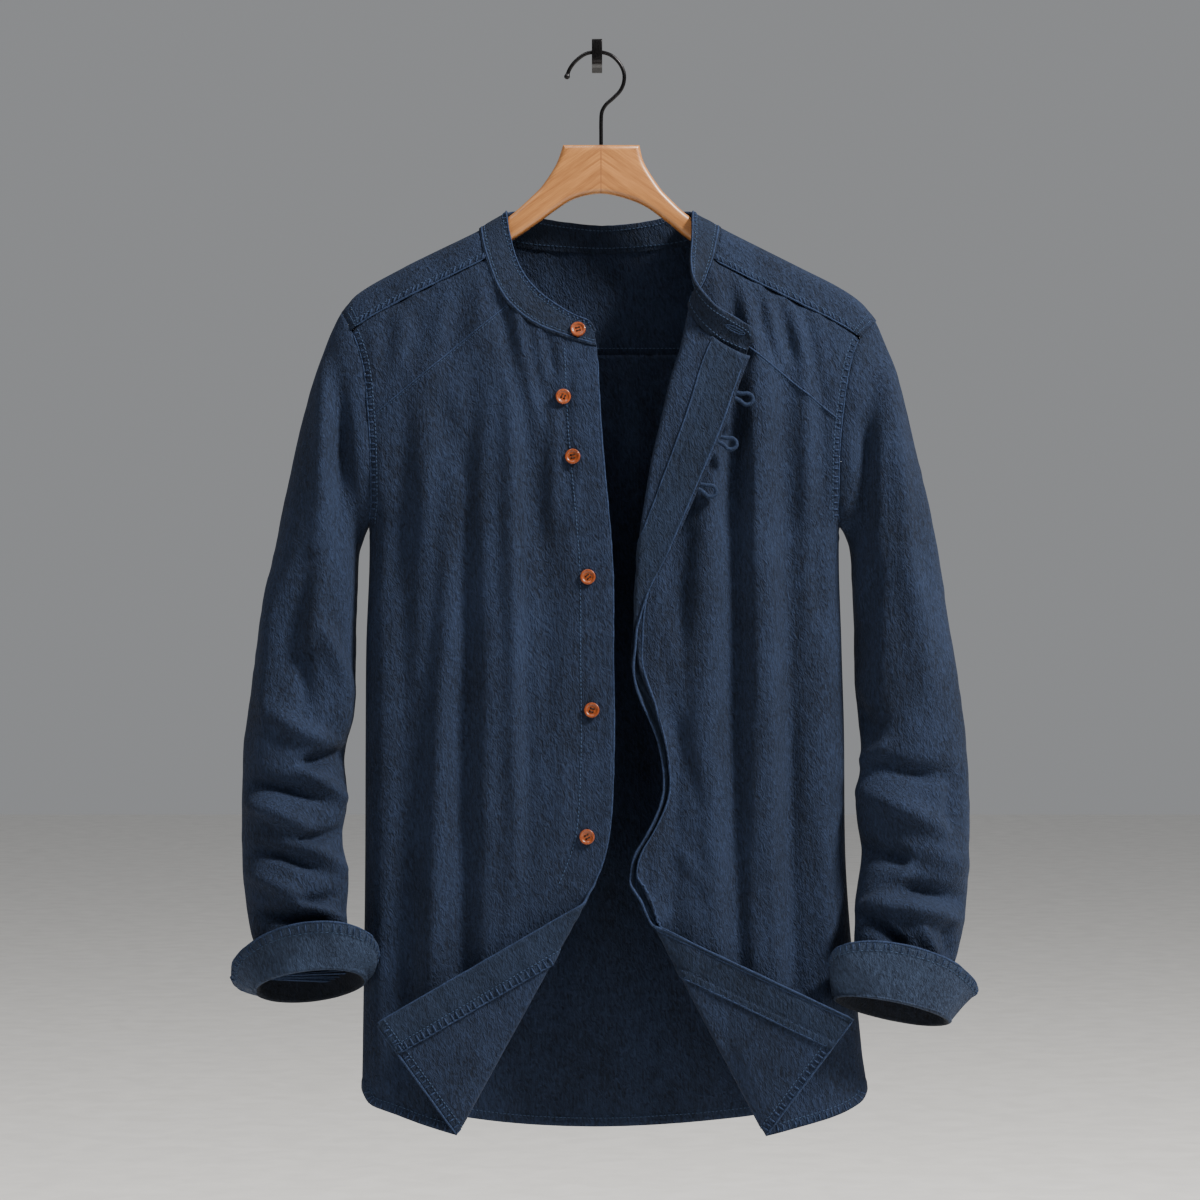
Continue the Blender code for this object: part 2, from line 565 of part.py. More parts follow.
def neck_end(side, drop):
    """Where the neckline lies this far under the shoulder ridge."""
    run = np.array(spline(NECK_RIGHT if side == "right" else NECK_LEFT))
    return np.interp(drop, [ridge_z(x) - z for x, z in run], run[:, 0])


def armhole_below(side, drop):
    """The armhole's point that lies this far under the shoulder ridge."""
    z = SHOULDER_Z[side]
    for _ in range(30):
        z = 0.5 * z + 0.5 * (ridge_z(follow(ARMHOLE, "z", side, z)) - drop)
    return np.array((follow(ARMHOLE, "z", side, z), z))


def front_flat(side):
    """The flat panel as a mesh in the front view, with its lapel beyond the fold, and its rows of
    points. Each vertex keeps its row's number, and lapel faces have material 1 till they are
    placed."""
    rows = [i / PANEL_ROWS for i in range(PANEL_ROWS + 1)]
    grid = coons(*front_outline(side), lambda z: side_columns(PANEL_COLUMNS, z), rows)
    bm = bmesh.new()
    number = bm.verts.layers.float.new("row")
    body = grid_faces(bm, [[(x, 0, z) for x, z in row] for row in grid])
    lines = [[tuple(point) for point in row] for row in grid]
    lapel = []
    if side == "left":
        turned = [[lapel_point(row[0], past) for past in lapel_columns(row[0][1])[::-1]]
                  for row in grid]
        last = next(i for i, row in enumerate(grid) if row[0][1] < CURL_END_Z)
        lapel = grid_faces(bm, [[(x, 0, z) for x, z in row] for row in turned[:last + 1]])
        lines = [row[:-1] + line if i < last else line
                 for i, (row, line) in enumerate(zip(turned, lines))]
    for i, line in list(enumerate(body)) + list(enumerate(lapel)):
        for vert in line:
            vert[number] = i
    lapel_verts = {vert for line in lapel for vert in line}
    for face in bm.faces:
        face.material_index = 1 if face.verts[0] in lapel_verts else 0
    bmesh.ops.remove_doubles(bm, verts=bm.verts[:], dist=0.02)
    return bm, lines


def roll_length(reach):
    """How much of the lapel's width goes round its roll."""
    return min(math.pi * FOLD_RADIUS, 0.8 * reach)


def lapel_columns(z):
    """Distances past the fold: round the roll, then out to the free edge."""
    reach = lapel_reach(z)
    turn = roll_length(reach)
    return ([turn * k / 4 for k in range(5)]
            + [turn + (reach - turn) * k / LAPEL_COLUMNS for k in range(1, LAPEL_COLUMNS + 1)])


def lapel_point(fold_point, past):
    """A flat point of the lapel, this far past the fold."""
    x, z = fold_point
    reach = lapel_reach(z)
    top = LAPEL_TOP[0].z
    full = follow(LAPEL_TOP, "d", "z", reach) - top
    part = follow(LAPEL_TOP, "d", "z", past) - top
    return x - past, z + (part / full * lapel_sink(z) if full else 0.0)


def cut(bm, start, across, faces, keep="both"):
    """Cuts faces of a flat mesh along a line in the front view; `keep` can keep one side only."""
    verts = {v for f in faces for v in f.verts}
    edges = {e for f in faces for e in f.edges}
    bmesh.ops.bisect_plane(bm, geom=[*verts, *edges, *faces], dist=0.01,
                           plane_co=(start[0], 0, start[1]), plane_no=(across[0], 0, across[1]),
                           clear_inner=keep == "beyond", clear_outer=keep == "before")


def turn_panel(bm, side, name, finish, wall, inside=0.0):
    """Crosses the corner's roll with edges, gives every flat point its place, and moves the
    surface inside by a distance, for what lies on the panel's inner side."""
    start, _, across = fold_frame(side)
    for step in range(5):
        low = [f for f in bm.faces if min(v.co.z for v in f.verts) < CORNER_ZONE_Z]
        cut(bm, start + across * math.pi * FOLD_RADIUS * step / 4, across, low)
    number = bm.verts.layers.float["row"]
    fold_run = along(front_outline(side)[2], [i / PANEL_ROWS for i in range(PANEL_ROWS + 1)])
    for vert in bm.verts:
        fold_x = None
        if side == "left":
            fold_x, fold_z = (np.interp(vert[number], range(len(fold_run)),
                                        [point[axis] for point in fold_run]) for axis in (0, 1))
            fold_x = fold_x if fold_z > CORNER_ZONE_Z and lapel_reach(fold_z) > 0 else None
        vert.co = place_front(side, vert.co.x, vert.co.z, fold_x)
    for face in bm.faces:
        face.material_index = 0
    orient(bm, Vector((0, -1, 0)), Vector((130 if side == "left" else -130, -90, -480)))
    if inside:
        bm.normal_update()
        peek = bm.verts.layers.float["peek"]
        for vert, normal in [(v, v.normal.copy()) for v in bm.verts]:
            vert.co -= normal * inside + Vector((vert[peek], 0, 0))
    sheet_object(name, bm, finish, wall)


def make_front(side):
    """A front panel and, over its slanting seam, the front yoke."""
    start, end = (np.array(p, dtype=float) for p in FRONT_YOKE_SEAM[side])
    run = (end - start) / np.linalg.norm(end - start)
    up = np.array((-run[1], run[0])) if run[0] > 0 else np.array((run[1], -run[0]))
    upper, _ = front_flat(side)
    lower = upper.copy()
    bmesh.ops.delete(upper, geom=[f for f in upper.faces if f.material_index], context="FACES")
    cut(upper, start + up * SEAM / 2, up, upper.faces[:], keep="beyond")
    turn_panel(upper, side, "front_yoke_" + side, CLOTH, WALL)
    body = [f for f in lower.faces if not f.material_index]
    cut(lower, start - up * SEAM / 2, up, body, keep="before")
    turn_panel(lower, side, "front_" + side, CLOTH, WALL)


def make_facing(side):
    """The strip inside a front edge, cut from the panel's own mesh and moved inwards."""
    bm, lines = front_flat(side)
    peek = bm.verts.layers.float.new("peek")
    number = bm.verts.layers.float["row"]
    sign = -1 if side == "right" else 1
    seam = []
    for line in lines:
        x = line[0][0] + sign * FACING_WIDTH
        z = np.interp(sign * x, [sign * point[0] for point in line], [point[1] for point in line])
        seam.append(np.array((x, z)))
    for i, (high, low) in enumerate(zip(seam, seam[1:])):
        run = low - high
        across = sign * np.array((-run[1], run[0]))
        strip = [f for f in bm.faces if int(min(v[number] for v in f.verts) + 0.001) == i]
        cut(bm, high, across, strip)
        strip = [f for f in bm.faces if int(min(v[number] for v in f.verts) + 0.001) == i]
        beyond = [f for f in strip if np.dot(np.array(f.calc_center_median())[[0, 2]] - high,
                                             across) > 0]
        bmesh.ops.delete(bm, geom=beyond, context="FACES")
    for vert in bm.verts:
        row = vert[number]
        free_x, free_z = lines[int(row)][0]
        if side == "left" and abs(vert.co.x - free_x) < 0.05 and abs(vert.co.z - free_z) < 0.05:
            vert[peek] = PEEK * soft_step(*PEEK_START, free_z) * soft_step(*PEEK_END, free_z)
        if row < 0.001:
            vert.co.z -= FACING_LOW
    turn_panel(bm, side, "facing_" + side, CLOTH_INSIDE, FACING_WALL, WALL + FACING_GAP)


# --- yoke and back ------------------------------------------------------------------------------
def make_yoke():
    """Over both shoulders, from the front yoke seams to the back yoke seam."""
    right = [("right", s) for s in YOKE_SHOULDER]
    left = [("left", s) for s in YOKE_SHOULDER[::-1]]
    middle = [("middle", s) for s in YOKE_NECK]
    columns = right + middle + left
    neck_back = spline(NECK_BACK)
    grid = []
    for share in YOKE_FRONT_DROPS:
        grid.append([yoke_front_point(side, s, share) for side, s in columns])
    for share in YOKE_BACK_SHARES:
        row = []
        for side, s in columns:
            if side == "middle":
                x, z = along(neck_back, (s,))[0]
                low_x = (NECK_POINT["right"].x - NECK_LEAN) * (1 - s) \
                    + (NECK_POINT["left"].x + NECK_LEAN) * s
                x, z = x + (low_x - x) * share, z + (YOKE_BACK_Z - z) * share
            else:
                x, z = yoke_back_flat(side, s, share)
            row.append(Vector((x, layer_y("back", x, z), z)))
        grid.append(row)
    first_back = len(YOKE_FRONT_DROPS)
    bm = bmesh.new()
    grid_faces(bm, grid, keep=lambda i, j: i >= first_back
               or not len(right) - 1 <= j < len(right) + len(middle))
    for vert in [v for v in bm.verts if not v.link_faces]:
        bm.verts.remove(vert)
    orient(bm, Vector((0, 1, 0)), Vector((3, 0, -240)))
    sheet_object("yoke", bm, CLOTH, WALL)


def yoke_front_point(side, s, share):
    """A point of the yoke's front part; between the neck points there is no cloth."""
    if side == "middle":
        return Vector((0, 0, 0))
    drop = (YOKE_DROP[side] - 2 * SEAM) * share
    end_x = armhole_below(side, drop)[0]
    x = end_x + (neck_end(side, drop) - end_x) * s
    z = ridge_z(x) - drop
    return Vector((x, layer_y("front", x, z), z))


def yoke_back_flat(side, s, share):
    """A flat place on the yoke behind a shoulder, from the shoulder line to the back seam."""
    z_end = SHOULDER_Z[side] + (YOKE_BACK_Z - SHOULDER_Z[side]) * share
    end_x = follow(ARMHOLE, "z", side, z_end) if share > 0 else armhole_below(side, 0)[0]
    out = -1 if side == "right" else 1
    neck_x = NECK_POINT[side].x + out * NECK_LEAN * min(share / 0.05, 1)
    shoulder_x = armhole_below(side, 0)[0]
    top = ridge_z(shoulder_x + (NECK_POINT[side].x - shoulder_x) * s)
    return end_x + (neck_x - end_x) * s, top + (YOKE_BACK_Z - top) * share


def back_columns(z):
    """Shares across the whole back, crowded at both of its side seams."""
    half = side_columns(BACK_COLUMNS, z)
    return [0.5 - s / 2 for s in half[::-1]] + [0.5 + s / 2 for s in half[1:]]


def make_back():
    sides = {}
    for side in ("right", "left"):
        heights = np.linspace(YOKE_BACK_Z - SEAM, UNDERARM_Z, 12)
        run = [np.array((follow(ARMHOLE, "z", side, z), z)) for z in heights]
        run += [np.array((follow(TORSO, "z", side, z), z))
                for z in np.linspace(UNDERARM_Z - 6, HEM_BACK[0].z, 40)]
        sides[side] = run
    top = [sides["right"][0] + (sides["left"][0] - sides["right"][0]) * i / 20 for i in range(21)]
    rows = [i / BACK_ROWS for i in range(BACK_ROWS + 1)]
    grid = coons(top, spline(HEM_BACK), sides["right"], sides["left"], back_columns, rows)
    bm = bmesh.new()
    grid_faces(bm, [[Vector((x, layer_y("back", x, z), z)) for x, z in row] for row in grid])
    orient(bm, Vector((0, 1, 0)), Vector((3, 0, -500)))
    sheet_object("back", bm, CLOTH, WALL)


def orient(bm, outwards, place):
    """Turns the surface so that its face nearest to a place looks outwards."""
    bmesh.ops.remove_doubles(bm, verts=bm.verts[:], dist=0.02)
    bmesh.ops.recalc_face_normals(bm, faces=bm.faces[:])
    nearest = min(bm.faces, key=lambda f: (f.calc_center_median() - place).length)
    if nearest.normal.dot(outwards) < 0:
        bmesh.ops.reverse_faces(bm, faces=bm.faces[:])


# --- sleeves and cuffs --------------------------------------------------------------------------
def armhole_ring(side):
    """The sleeve's first ring, which follows the armhole: over the front, then up the back."""
    ring = []
    top, low = SHOULDER_Z[side], UNDERARM_Z - SEAM
    out = -1 if side == "right" else 1
    for i in range(SLEEVE_SIDES):
        turn = 2 * math.pi * i / SLEEVE_SIDES
        z = top + (low - top) * (1 - math.cos(turn)) / 2
        layer = "front" if turn <= math.pi else "back"
        x, y = armhole_point(side, z, layer)
        if i in (0, SLEEVE_SIDES // 2):
            y = HANGER_Y
        ring.append(Vector((x + out * SEAM, y, z)))
    return ring


def ring_points(row):
    """A cross-section: from its outer edge over the front to its inner edge and back."""
    outer = Vector((row.outer.x, HANGER_Y + row.y_outer, row.outer.z))
    inner = Vector((row.inner.x, HANGER_Y + row.y_inner, row.inner.z))
    middle, arm = (outer + inner) / 2, (outer - inner) / 2
    dip = row.lift if row.dip is None else row.dip
    ring = []
    for i in range(SLEEVE_SIDES):
        turn = 2 * math.pi * i / SLEEVE_SIDES
        front = math.sin(turn)
        rise = (row.lift if front > 0 else dip) * front
        ring.append(middle + arm * math.cos(turn) + Vector((0, -row.depth * front, rise)))
    return ring


def between_rings(rings, count):
    """More rings on smooth curves through the given ones, evenly spaced along the tube."""
    lines = [spline([tuple(ring[i]) for ring in rings]) for i in range(SLEEVE_SIDES)]
    middle = np.mean(np.array([np.array(line) for line in lines]), axis=0)
    reach = np.concatenate(([0.0], np.cumsum(np.linalg.norm(np.diff(middle, axis=0), axis=1))))
    out = []
    for k in range(count):
        at = np.interp(reach[-1] * k / (count - 1), reach, range(len(reach)))
        i = min(int(at), len(middle) - 2)
        out.append([Vector(line[i] + (line[i + 1] - line[i]) * (at - i)) for line in lines])
    return out


def crease_depth(share, turn, mirror):
    out = 0.0
    for crease in CREASES:
        round_by = turn - crease.turn
        middle = crease.along + crease.slant * round_by * (1 if mirror else -1) * 2
        out += crease.out * math.exp(-((share - middle) / crease.width) ** 2
                                     - (round_by / crease.reach) ** 2)
    return out


def make_sleeve(side):
    rings = between_rings([armhole_ring(side)] + [ring_points(row) for row in SLEEVE[side]],
                          SLEEVE_RINGS)
    for i, (start, after) in enumerate(zip(rings[0], rings[1])):
        bend = abs(math.cos(2 * math.pi * i / SLEEVE_SIDES)) ** 4    # sharpest over the shoulder
        rings[0][i] = start + (after - start).normalized() * SEAM * (1 + 2.2 * bend)
    for k, ring in enumerate(rings):
        share = k / (SLEEVE_RINGS - 1)
        middle = sum(ring, Vector()) / len(ring)
        fade = soft_step(0.45, 0.6, share) * (1 - soft_step(0.9, 0.95, share))
        for i, point in enumerate(ring):
            inner_side = max(math.cos(2 * math.pi * i / SLEEVE_SIDES - math.pi), 0)
            out = crease_depth(share, i / SLEEVE_SIDES, side == "left") * fade
            ring[i] = point + (point - middle).normalized() * out * (1 - 0.8 * inner_side)
    bm = bmesh.new()
    grid_faces(bm, rings, closed=True)
    orient(bm, Vector((0, -1, 0)), Vector((-250 if side == "right" else 260, -200, -520)))
    sheet_object("sleeve_" + side, bm, CLOTH, WALL)


def widened(row, grow, rise):
    """A cross-section made wider all round, and lifted."""
    way = 1 if row.outer.x > row.inner.x else -1
    return row._replace(outer=Point(row.outer.x + way * grow, row.outer.z + rise),
                        inner=Point(row.inner.x - way * grow, row.inner.z + rise),
                        depth=row.depth + grow)


def make_cuff(side):
    """A turned-back cuff: down inside the sleeve's mouth, round the fold and up to the rim."""
    end, fold, half, rim = CUFF[side]
    rings = [ring_points(end)]
    for turn in (-90, -45, 0, 45, 90):
        grow = CUFF_FOLD * math.sin(math.radians(turn))
        rings.append(ring_points(widened(fold, grow, CUFF_FOLD - CUFF_FOLD
                                         * math.cos(math.radians(turn)))))
    rings += [ring_points(half), ring_points(rim)]
    bm = bmesh.new()
    grid_faces(bm, rings, closed=True)
    orient(bm, Vector((0, -1, 0)), Vector((-242 if side == "right" else 254, -200, -750)))
    sheet_object("cuff_" + side, bm, CLOTH_INSIDE, WALL)


# --- collar -------------------------------------------------------------------------------------
def seam_point(row):
    """Where the collar's seam lies on the neckline."""
    if row.layer == "ridge":
        return Vector((row.x, HANGER_Y, row.z))
    y = layer_y("back" if row.layer == "back" else "front", row.x, row.z)
    lift = {"turned": 2 * FOLD_RADIUS + 2, "roll": FOLD_RADIUS}.get(row.layer, 0)
    return Vector((row.x, y - lift, row.z))


def make_collar():
    """A standing band whose left end is turned out with the lapel."""
    seam = [seam_point(row) for row in COLLAR]
    top = [Vector((row.top_x, point.y + row.back, row.top_z)) for row, point in zip(COLLAR, seam)]
    shares = [i / COLLAR_COLUMNS for i in range(COLLAR_COLUMNS + 1)]
    seam_run = spline([tuple(p) for p in seam])
    top_run = spline([tuple(p) for p in top])
    seam_at = [Vector(p) for p in in_step(seam_run, shares)]
    top_at = [Vector(p) for p in in_step(top_run, shares)]
    grid = []
    for k in range(COLLAR_ROWS + 1):
        rise = k / COLLAR_ROWS
        row = []
        for low, high in zip(seam_at, top_at):
            start = low + (high - low).normalized() * COLLAR_GAP
            row.append(start.lerp(high, rise))
        grid.append(row)
    round_ends(grid)
    bm = bmesh.new()
    grid_faces(bm, grid)
    orient(bm, Vector((-0.5, -1, 0)), Vector((-70, -90, -205)))
    sheet_object("collar", bm, CLOTH, COLLAR_WALL)


def round_ends(grid):
    """Rounds the two upper corners of the band."""
    for end, beside in ((0, 1), (-1, -2)):
        grid[-1][end] = grid[-1][end].lerp(grid[-1][beside], 0.55) + \
            (grid[-2][end] - grid[-1][end]) * 0.2


# --- buttons and loops --------------------------------------------------------------------------
def front_hit(name, x, z):
    """Where a line from the front meets a finished piece, and the way out of it there."""
    piece = bpy.data.objects[name].evaluated_get(bpy.context.evaluated_depsgraph_get())
    _, place, normal, _ = piece.ray_cast(Vector((x, -300, z)) * MM, Vector((0, 1, 0)))
    return place / MM, normal


def make_button(number, place):
    """A turned disc with a raised rim and a dished middle."""
    radius, thick = BUTTON_RADIUS, BUTTON_THICK
    profile = ((0.0, 0.62), (0.55, 0.62), (0.72, 0.98), (0.88, 1.0), (1.0, 0.62), (0.92, 0.12),
               (0.6, 0.0), (0.0, 0.0))
    point, normal = front_hit("collar" if number == 1 else "front_right", place.x, place.z)
    mesh = bpy.data.meshes.new("button_%d" % number)
    bm = bmesh.new()
    verts = [bm.verts.new((out * radius * MM, 0, up * thick * MM)) for out, up in profile]
    for a, b in zip(verts, verts[1:]):
        bm.edges.new((a, b))
    bm.to_mesh(mesh)
    bm.free()
    made = add_object("button_%d" % number, mesh, WOOD_BUTTON)
    made.location = (point + normal * SEAM) * MM
    made.rotation_euler = normal.to_track_quat("Z", "Y").to_euler()
    turn = made.modifiers.new("turned", "SCREW")
    turn.angle = math.tau
    turn.steps = turn.render_steps = 11
    turn.use_merge_vertices = True
    turn.merge_threshold = 0.00002
    turn.use_normal_calculate = True


def tube(name, points, radius, finish, radii=None, sides=1):
    """A round cord or wire along the points, in mm."""
    data = bpy.data.curves.new(name, "CURVE")
    data.dimensions = "3D"
    run = data.splines.new("POLY")
    run.points.add(len(points) - 1)
    for i, (target, point) in enumerate(zip(run.points, points)):
        target.co = (point[0] * MM, point[1] * MM, point[2] * MM, 1)
        target.radius = radii[i] if radii else 1
    data.bevel_depth = radius * MM
    data.bevel_resolution = sides
    data.use_fill_caps = True
    made = bpy.data.objects.new(name, data)
    PARTS.objects.link(made)
    data.materials.append(material(name, *finish))
    return made


def lapel_edge(z):
    """A point on the lapel's free edge at a height, and the way out of it in the front view."""
    fold_z = z
    for _ in range(20):
        fold_z = z - lapel_sink(fold_z)
    places = []
    for height in (fold_z + 3, fold_z, fold_z - 3):
        fold_x = follow(EDGE_LEFT, "z", "x", height)
        flat = lapel_point((fold_x, height), lapel_reach(height))
        places.append(place_front("left", *flat, fold_x))
    down = (places[2] - places[0]).normalized()
    return places[1], down, Vector((-down.z, 0, down.x)).normalized()


def make_loop(number, z):
    point, down, out = lapel_edge(z)
    middle = point + Vector((0, -WALL / 2, 0))
    outline = spline([tuple(p) for p in LOOP_OUTLINE], 2)
    points = [middle + out * a - down * b for a, b in outline]
    tube("loop_%d" % number, points, LOOP_CORD / 2, CLOTH)


# --- hanger, hook and wall hook -----------------------------------------------------------------
def hanger_outline():
    """The wood's outline: its shaped middle, and two arms that follow the shoulders."""
    arms = {side: [(x, ridge_z(x) - HANGER_CLEAR) for x in xs]
            for side, xs in HANGER_ARM_X.items()}
    top = arms["right"][::-1] + [tuple(p) for p in HANGER_MIDDLE_TOP] + arms["left"]
    low = []
    for side in ("left", "right"):
        x, z = arms[side][-1]
        out = 1 if side == "left" else -1
        tip = [(x + out * 5, z - 9), (x + out * 3, z - 15)]
        under = [(px, pz - HANGER_ARM_HEIGHT) for px, pz in arms[side][::-1]]
        low.append(tip + under)
    return top + low[0] + [tuple(p) for p in HANGER_MIDDLE_LOW] + low[1][::-1]


def slab(name, outline, way, finish, round_width, round_segments, sharp):
    """A flat body from an outline of points and a way through it, with its sharp edges rounded."""
    bm = bmesh.new()
    face = bm.faces.new([bm.verts.new(Vector(point) * MM) for point in outline])
    side = bmesh.ops.extrude_face_region(bm, geom=[face])
    moved = [g for g in side["geom"] if isinstance(g, bmesh.types.BMVert)]
    bmesh.ops.translate(bm, vec=Vector(way) * MM, verts=moved)
    bmesh.ops.recalc_face_normals(bm, faces=bm.faces[:])
    mesh = bpy.data.meshes.new(name)
    bm.to_mesh(mesh)
    bm.free()
    made = add_object(name, mesh, finish)
    rounding = made.modifiers.new("rounded_edges", "BEVEL")
    rounding.width = round_width * MM
    rounding.segments = round_segments
    rounding.limit_method = "ANGLE"
    rounding.angle_limit = math.radians(sharp)


def make_hanger():
    """A flat board of wood."""
    front_y = HANGER_Y - HANGER_THICK / 2
    slab("hanger", [(x, front_y, z) for x, z in hanger_outline()], (0, HANGER_THICK, 0), BEECH,
         HANGER_ROUND, 2, 50)


def make_hanger_hook():
    path = spline([tuple(p) for p in HOOK_PATH], 2)
    points = [(x, HANGER_Y, z) for x, z in path]
    radii = [1.0] * len(points)
    radii[:len(HOOK_BALL)] = HOOK_BALL
    tube("hanger_hook", points, HOOK_WIRE / 2, STEEL, radii)


def make_wall_hook():
    """A flat strap: back plate, arm under the wire, and an upright nose in front of it."""
    start = {"wall": 0.0, "nose": HANGER_Y - HOOK_WIRE / 2 - NOSE_CLEAR}
    outline = [(-WALL_HOOK_WIDTH / 2, start[row.start] + row.y, row.z) for row in WALL_HOOK]
    slab("wall_hook", outline, (WALL_HOOK_WIDTH, 0, 0), STEEL, WALL_HOOK_ROUND, 1, 60)


# --- build --------------------------------------------------------------------------------------
CLOTH = ((0.028, 0.045, 0.095), 0.85)
CLOTH_INSIDE = ((0.036, 0.056, 0.115), 0.85)
WOOD_BUTTON = ((0.45, 0.13, 0.03), 0.3)
BEECH = ((0.62, 0.36, 0.18), 0.4)
STEEL = ((0.05, 0.05, 0.055), 0.35, 1.0)

for old in list(bpy.data.objects):
    bpy.data.objects.remove(old)
PARTS = bpy.data.collections.new(NAME)
bpy.context.scene.collection.children.link(PARTS)


def main():
    make_wall_hook()
    make_hanger_hook()
    make_hanger()
    make_yoke()
    make_back()
    for side in ("right", "left"):
        make_front(side)
        make_facing(side)
        make_sleeve(side)
        make_cuff(side)
    make_collar()
    for number, place in enumerate(BUTTONS, 1):
        make_button(number, place)
    for number, z in enumerate(LOOP_HEIGHTS, 1):
        make_loop(number, z)


main()
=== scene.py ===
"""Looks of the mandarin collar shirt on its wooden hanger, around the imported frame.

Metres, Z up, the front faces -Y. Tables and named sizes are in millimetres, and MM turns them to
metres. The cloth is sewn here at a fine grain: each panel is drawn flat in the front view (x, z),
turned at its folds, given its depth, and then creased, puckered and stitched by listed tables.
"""
import math
from collections import namedtuple

import bmesh
import bpy
import numpy as np
from mathutils import Matrix, Vector
from mathutils.bvhtree import BVHTree


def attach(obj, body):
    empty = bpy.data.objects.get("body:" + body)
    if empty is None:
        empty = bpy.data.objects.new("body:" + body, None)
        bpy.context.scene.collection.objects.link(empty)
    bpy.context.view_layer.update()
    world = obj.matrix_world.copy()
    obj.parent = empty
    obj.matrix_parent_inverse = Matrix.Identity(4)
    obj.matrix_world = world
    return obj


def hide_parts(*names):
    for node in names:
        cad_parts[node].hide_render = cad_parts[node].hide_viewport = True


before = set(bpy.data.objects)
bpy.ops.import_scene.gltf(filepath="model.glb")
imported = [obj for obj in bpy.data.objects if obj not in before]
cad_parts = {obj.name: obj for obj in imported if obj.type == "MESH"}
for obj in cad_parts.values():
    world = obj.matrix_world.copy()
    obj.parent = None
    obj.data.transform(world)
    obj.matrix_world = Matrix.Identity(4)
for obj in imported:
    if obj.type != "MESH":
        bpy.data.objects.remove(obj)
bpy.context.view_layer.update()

MM = 0.001

# --- camera: straight from the front ------------------------------------------------------------
CAMERA_AWAY = 3.6         # metres from the wall
FRAME_WIDE = 0.996        # metres of the shirt's plane that the picture shows
FRAME_MIDDLE = (0.0025, -0.4598)
SHIRT_DEPTH = -0.085

lens = bpy.data.cameras.new("front_camera")
lens.sensor_width = 36.0
lens.lens = lens.sensor_width * (CAMERA_AWAY + SHIRT_DEPTH) / FRAME_WIDE
camera = bpy.data.objects.new("front_camera", lens)
camera.location = (FRAME_MIDDLE[0], -CAMERA_AWAY, FRAME_MIDDLE[1])
camera.rotation_euler = (math.radians(90), 0, 0)
bpy.context.scene.collection.objects.link(camera)
bpy.context.scene.camera = camera

# --- sizes, mm ----------------------------------------------------------------------------------
WALL = 0.9            # cloth
COLLAR_WALL = 2.2     # the collar is two layers with a lining
FACING_GAP = 0.25     # between a front and its facing
HANGER_Y = -44.0      # depth of the hanger's middle plane, from the wall
RIDGE_RADIUS = 9.5    # of the cloth where it goes over the hanger
FOLD_RADIUS = 3.0     # inside a turned edge
FOLD_WALL = 1.5       # how far a turned edge stands out past its fold's inside
LAPEL_RISE = 0.10     # how much the turned lapel stands off, for each mm past its roll
CORNER_CUTS = 8       # stretches round a turned corner's roll
FACING_WIDTH = 31.0
PEEK = 4.8            # of the left facing past the wavy edge
EDGE_PULLED = 4.5     # how far the wavy edge is drawn in from the front edge's line
BUTTON_RADIUS = 6.3
BUTTON_THICK = 2.6
HOLE_AWAY = 1.35      # a button's hole from its middle, along and across
LOOP_CORD = 3.5
FLARE = (             # height, width and slope of the strip that the wavy edge turns forward
    (-765, 0, 0.25), (-745, 10, 0.25), (-712, 17, 0.28), (-680, 8, 0.35), (-650, 2.0, 0.5),
    (-602, 2.0, 0.5), (-575, 5, 0.5), (-545, 9.0, 0.5), (-505, 11, 0.5), (-470, 0, 0.5),
)
EDGE_SHOWN_Z = (-450.0, -490.0)      # between these the left facing comes out past the edge
EDGE_HIDDEN_Z = (-745.0, -690.0)     # and here it goes back
EDGE_GROOVE = 5.0     # depth of the groove between the two
EDGE_DOUBLED = 2.8    # from the left corner's edge to the line beside it
TUCK_EVERY = 5.5      # puckers along a stitched seam, on average
BUTTONHOLE_AT = (114.5, -236.0)      # in the collar's turned end
BUTTONHOLE_WAY = (17.0, -8.0)
BUTTONHOLE_LONG = 17.0
HOOK_WIRE = 3.2
HANGER_THICK = 12.5
HANGER_ROUND = 4.4    # radius of its edges
HANGER_CLEAR = 3.6    # between its top and the cloth's
CUFF_FOLD = 3.2       # radius of the cuff's turn
BODY_MIDDLE = (0.0, -330.0)    # between the armholes, in the front view
SIDE_MARGIN = 0.06    # this near its side seam, a layer lies on the seam itself
SIDE_POWER = 2.5      # of the curve from front to side: 2 would be an ellipse
HEM = 8.0             # width of the stitched hem
NECK_SPANS = {"right": 7, "left": 4}    # of 14 spans of a front, how many end on the neckline
FRONT_COLUMNS, FRONT_ROWS = 71, 231
ROLL_STEPS, LAPEL_STEPS = 8, 22
NO_FOLD = -9999.0     # far past a row that isn't folded
HEM_ROW = HEM - 0.5   # rows of stitches, from their own seams or edges
ARMHOLE_ROW = 5.4
ARMHOLE_DIP = 5.2     # the groove beside the armhole's row
YOKE_ROW = 5.5        # the width of the yoke's turned edge, too
PLACKET_ROW = FACING_WIDTH - 4
FACING_ROW = 7.5
SLANT_ROW = 1.6
CUFF_ROW = 5.8
COLLAR_LOW_ROW, COLLAR_TOP_ROW = 3.4, 4.2
FOLDS_OUT = 1.85      # the long folds stand nearly twice as deep here as in the solids
BODY_CREASES_OUT = 1.5      # and these are the tables' small creases
SLEEVE_CREASES_OUT = 3.7
CUFF_RADIUS = 46.0    # a cuff is laid flat as if it were this round
EDGE_SHOWN = 2.8      # of the lapel's edge beyond its facing
FACING_STEPS = 26
FACING_WALL = 0.7
YOKE_ENDS, YOKE_MIDDLE = 40, 59     # columns over each shoulder, and between them
YOKE_FRONT, YOKE_BACK = 18, 34      # rows
BACK_HALF, BACK_ROWS = 51, 170
SLEEVE_ROUND, SLEEVE_RINGS = 80, 170
CUFF_ROUND, CUFF_RINGS = 96, 56
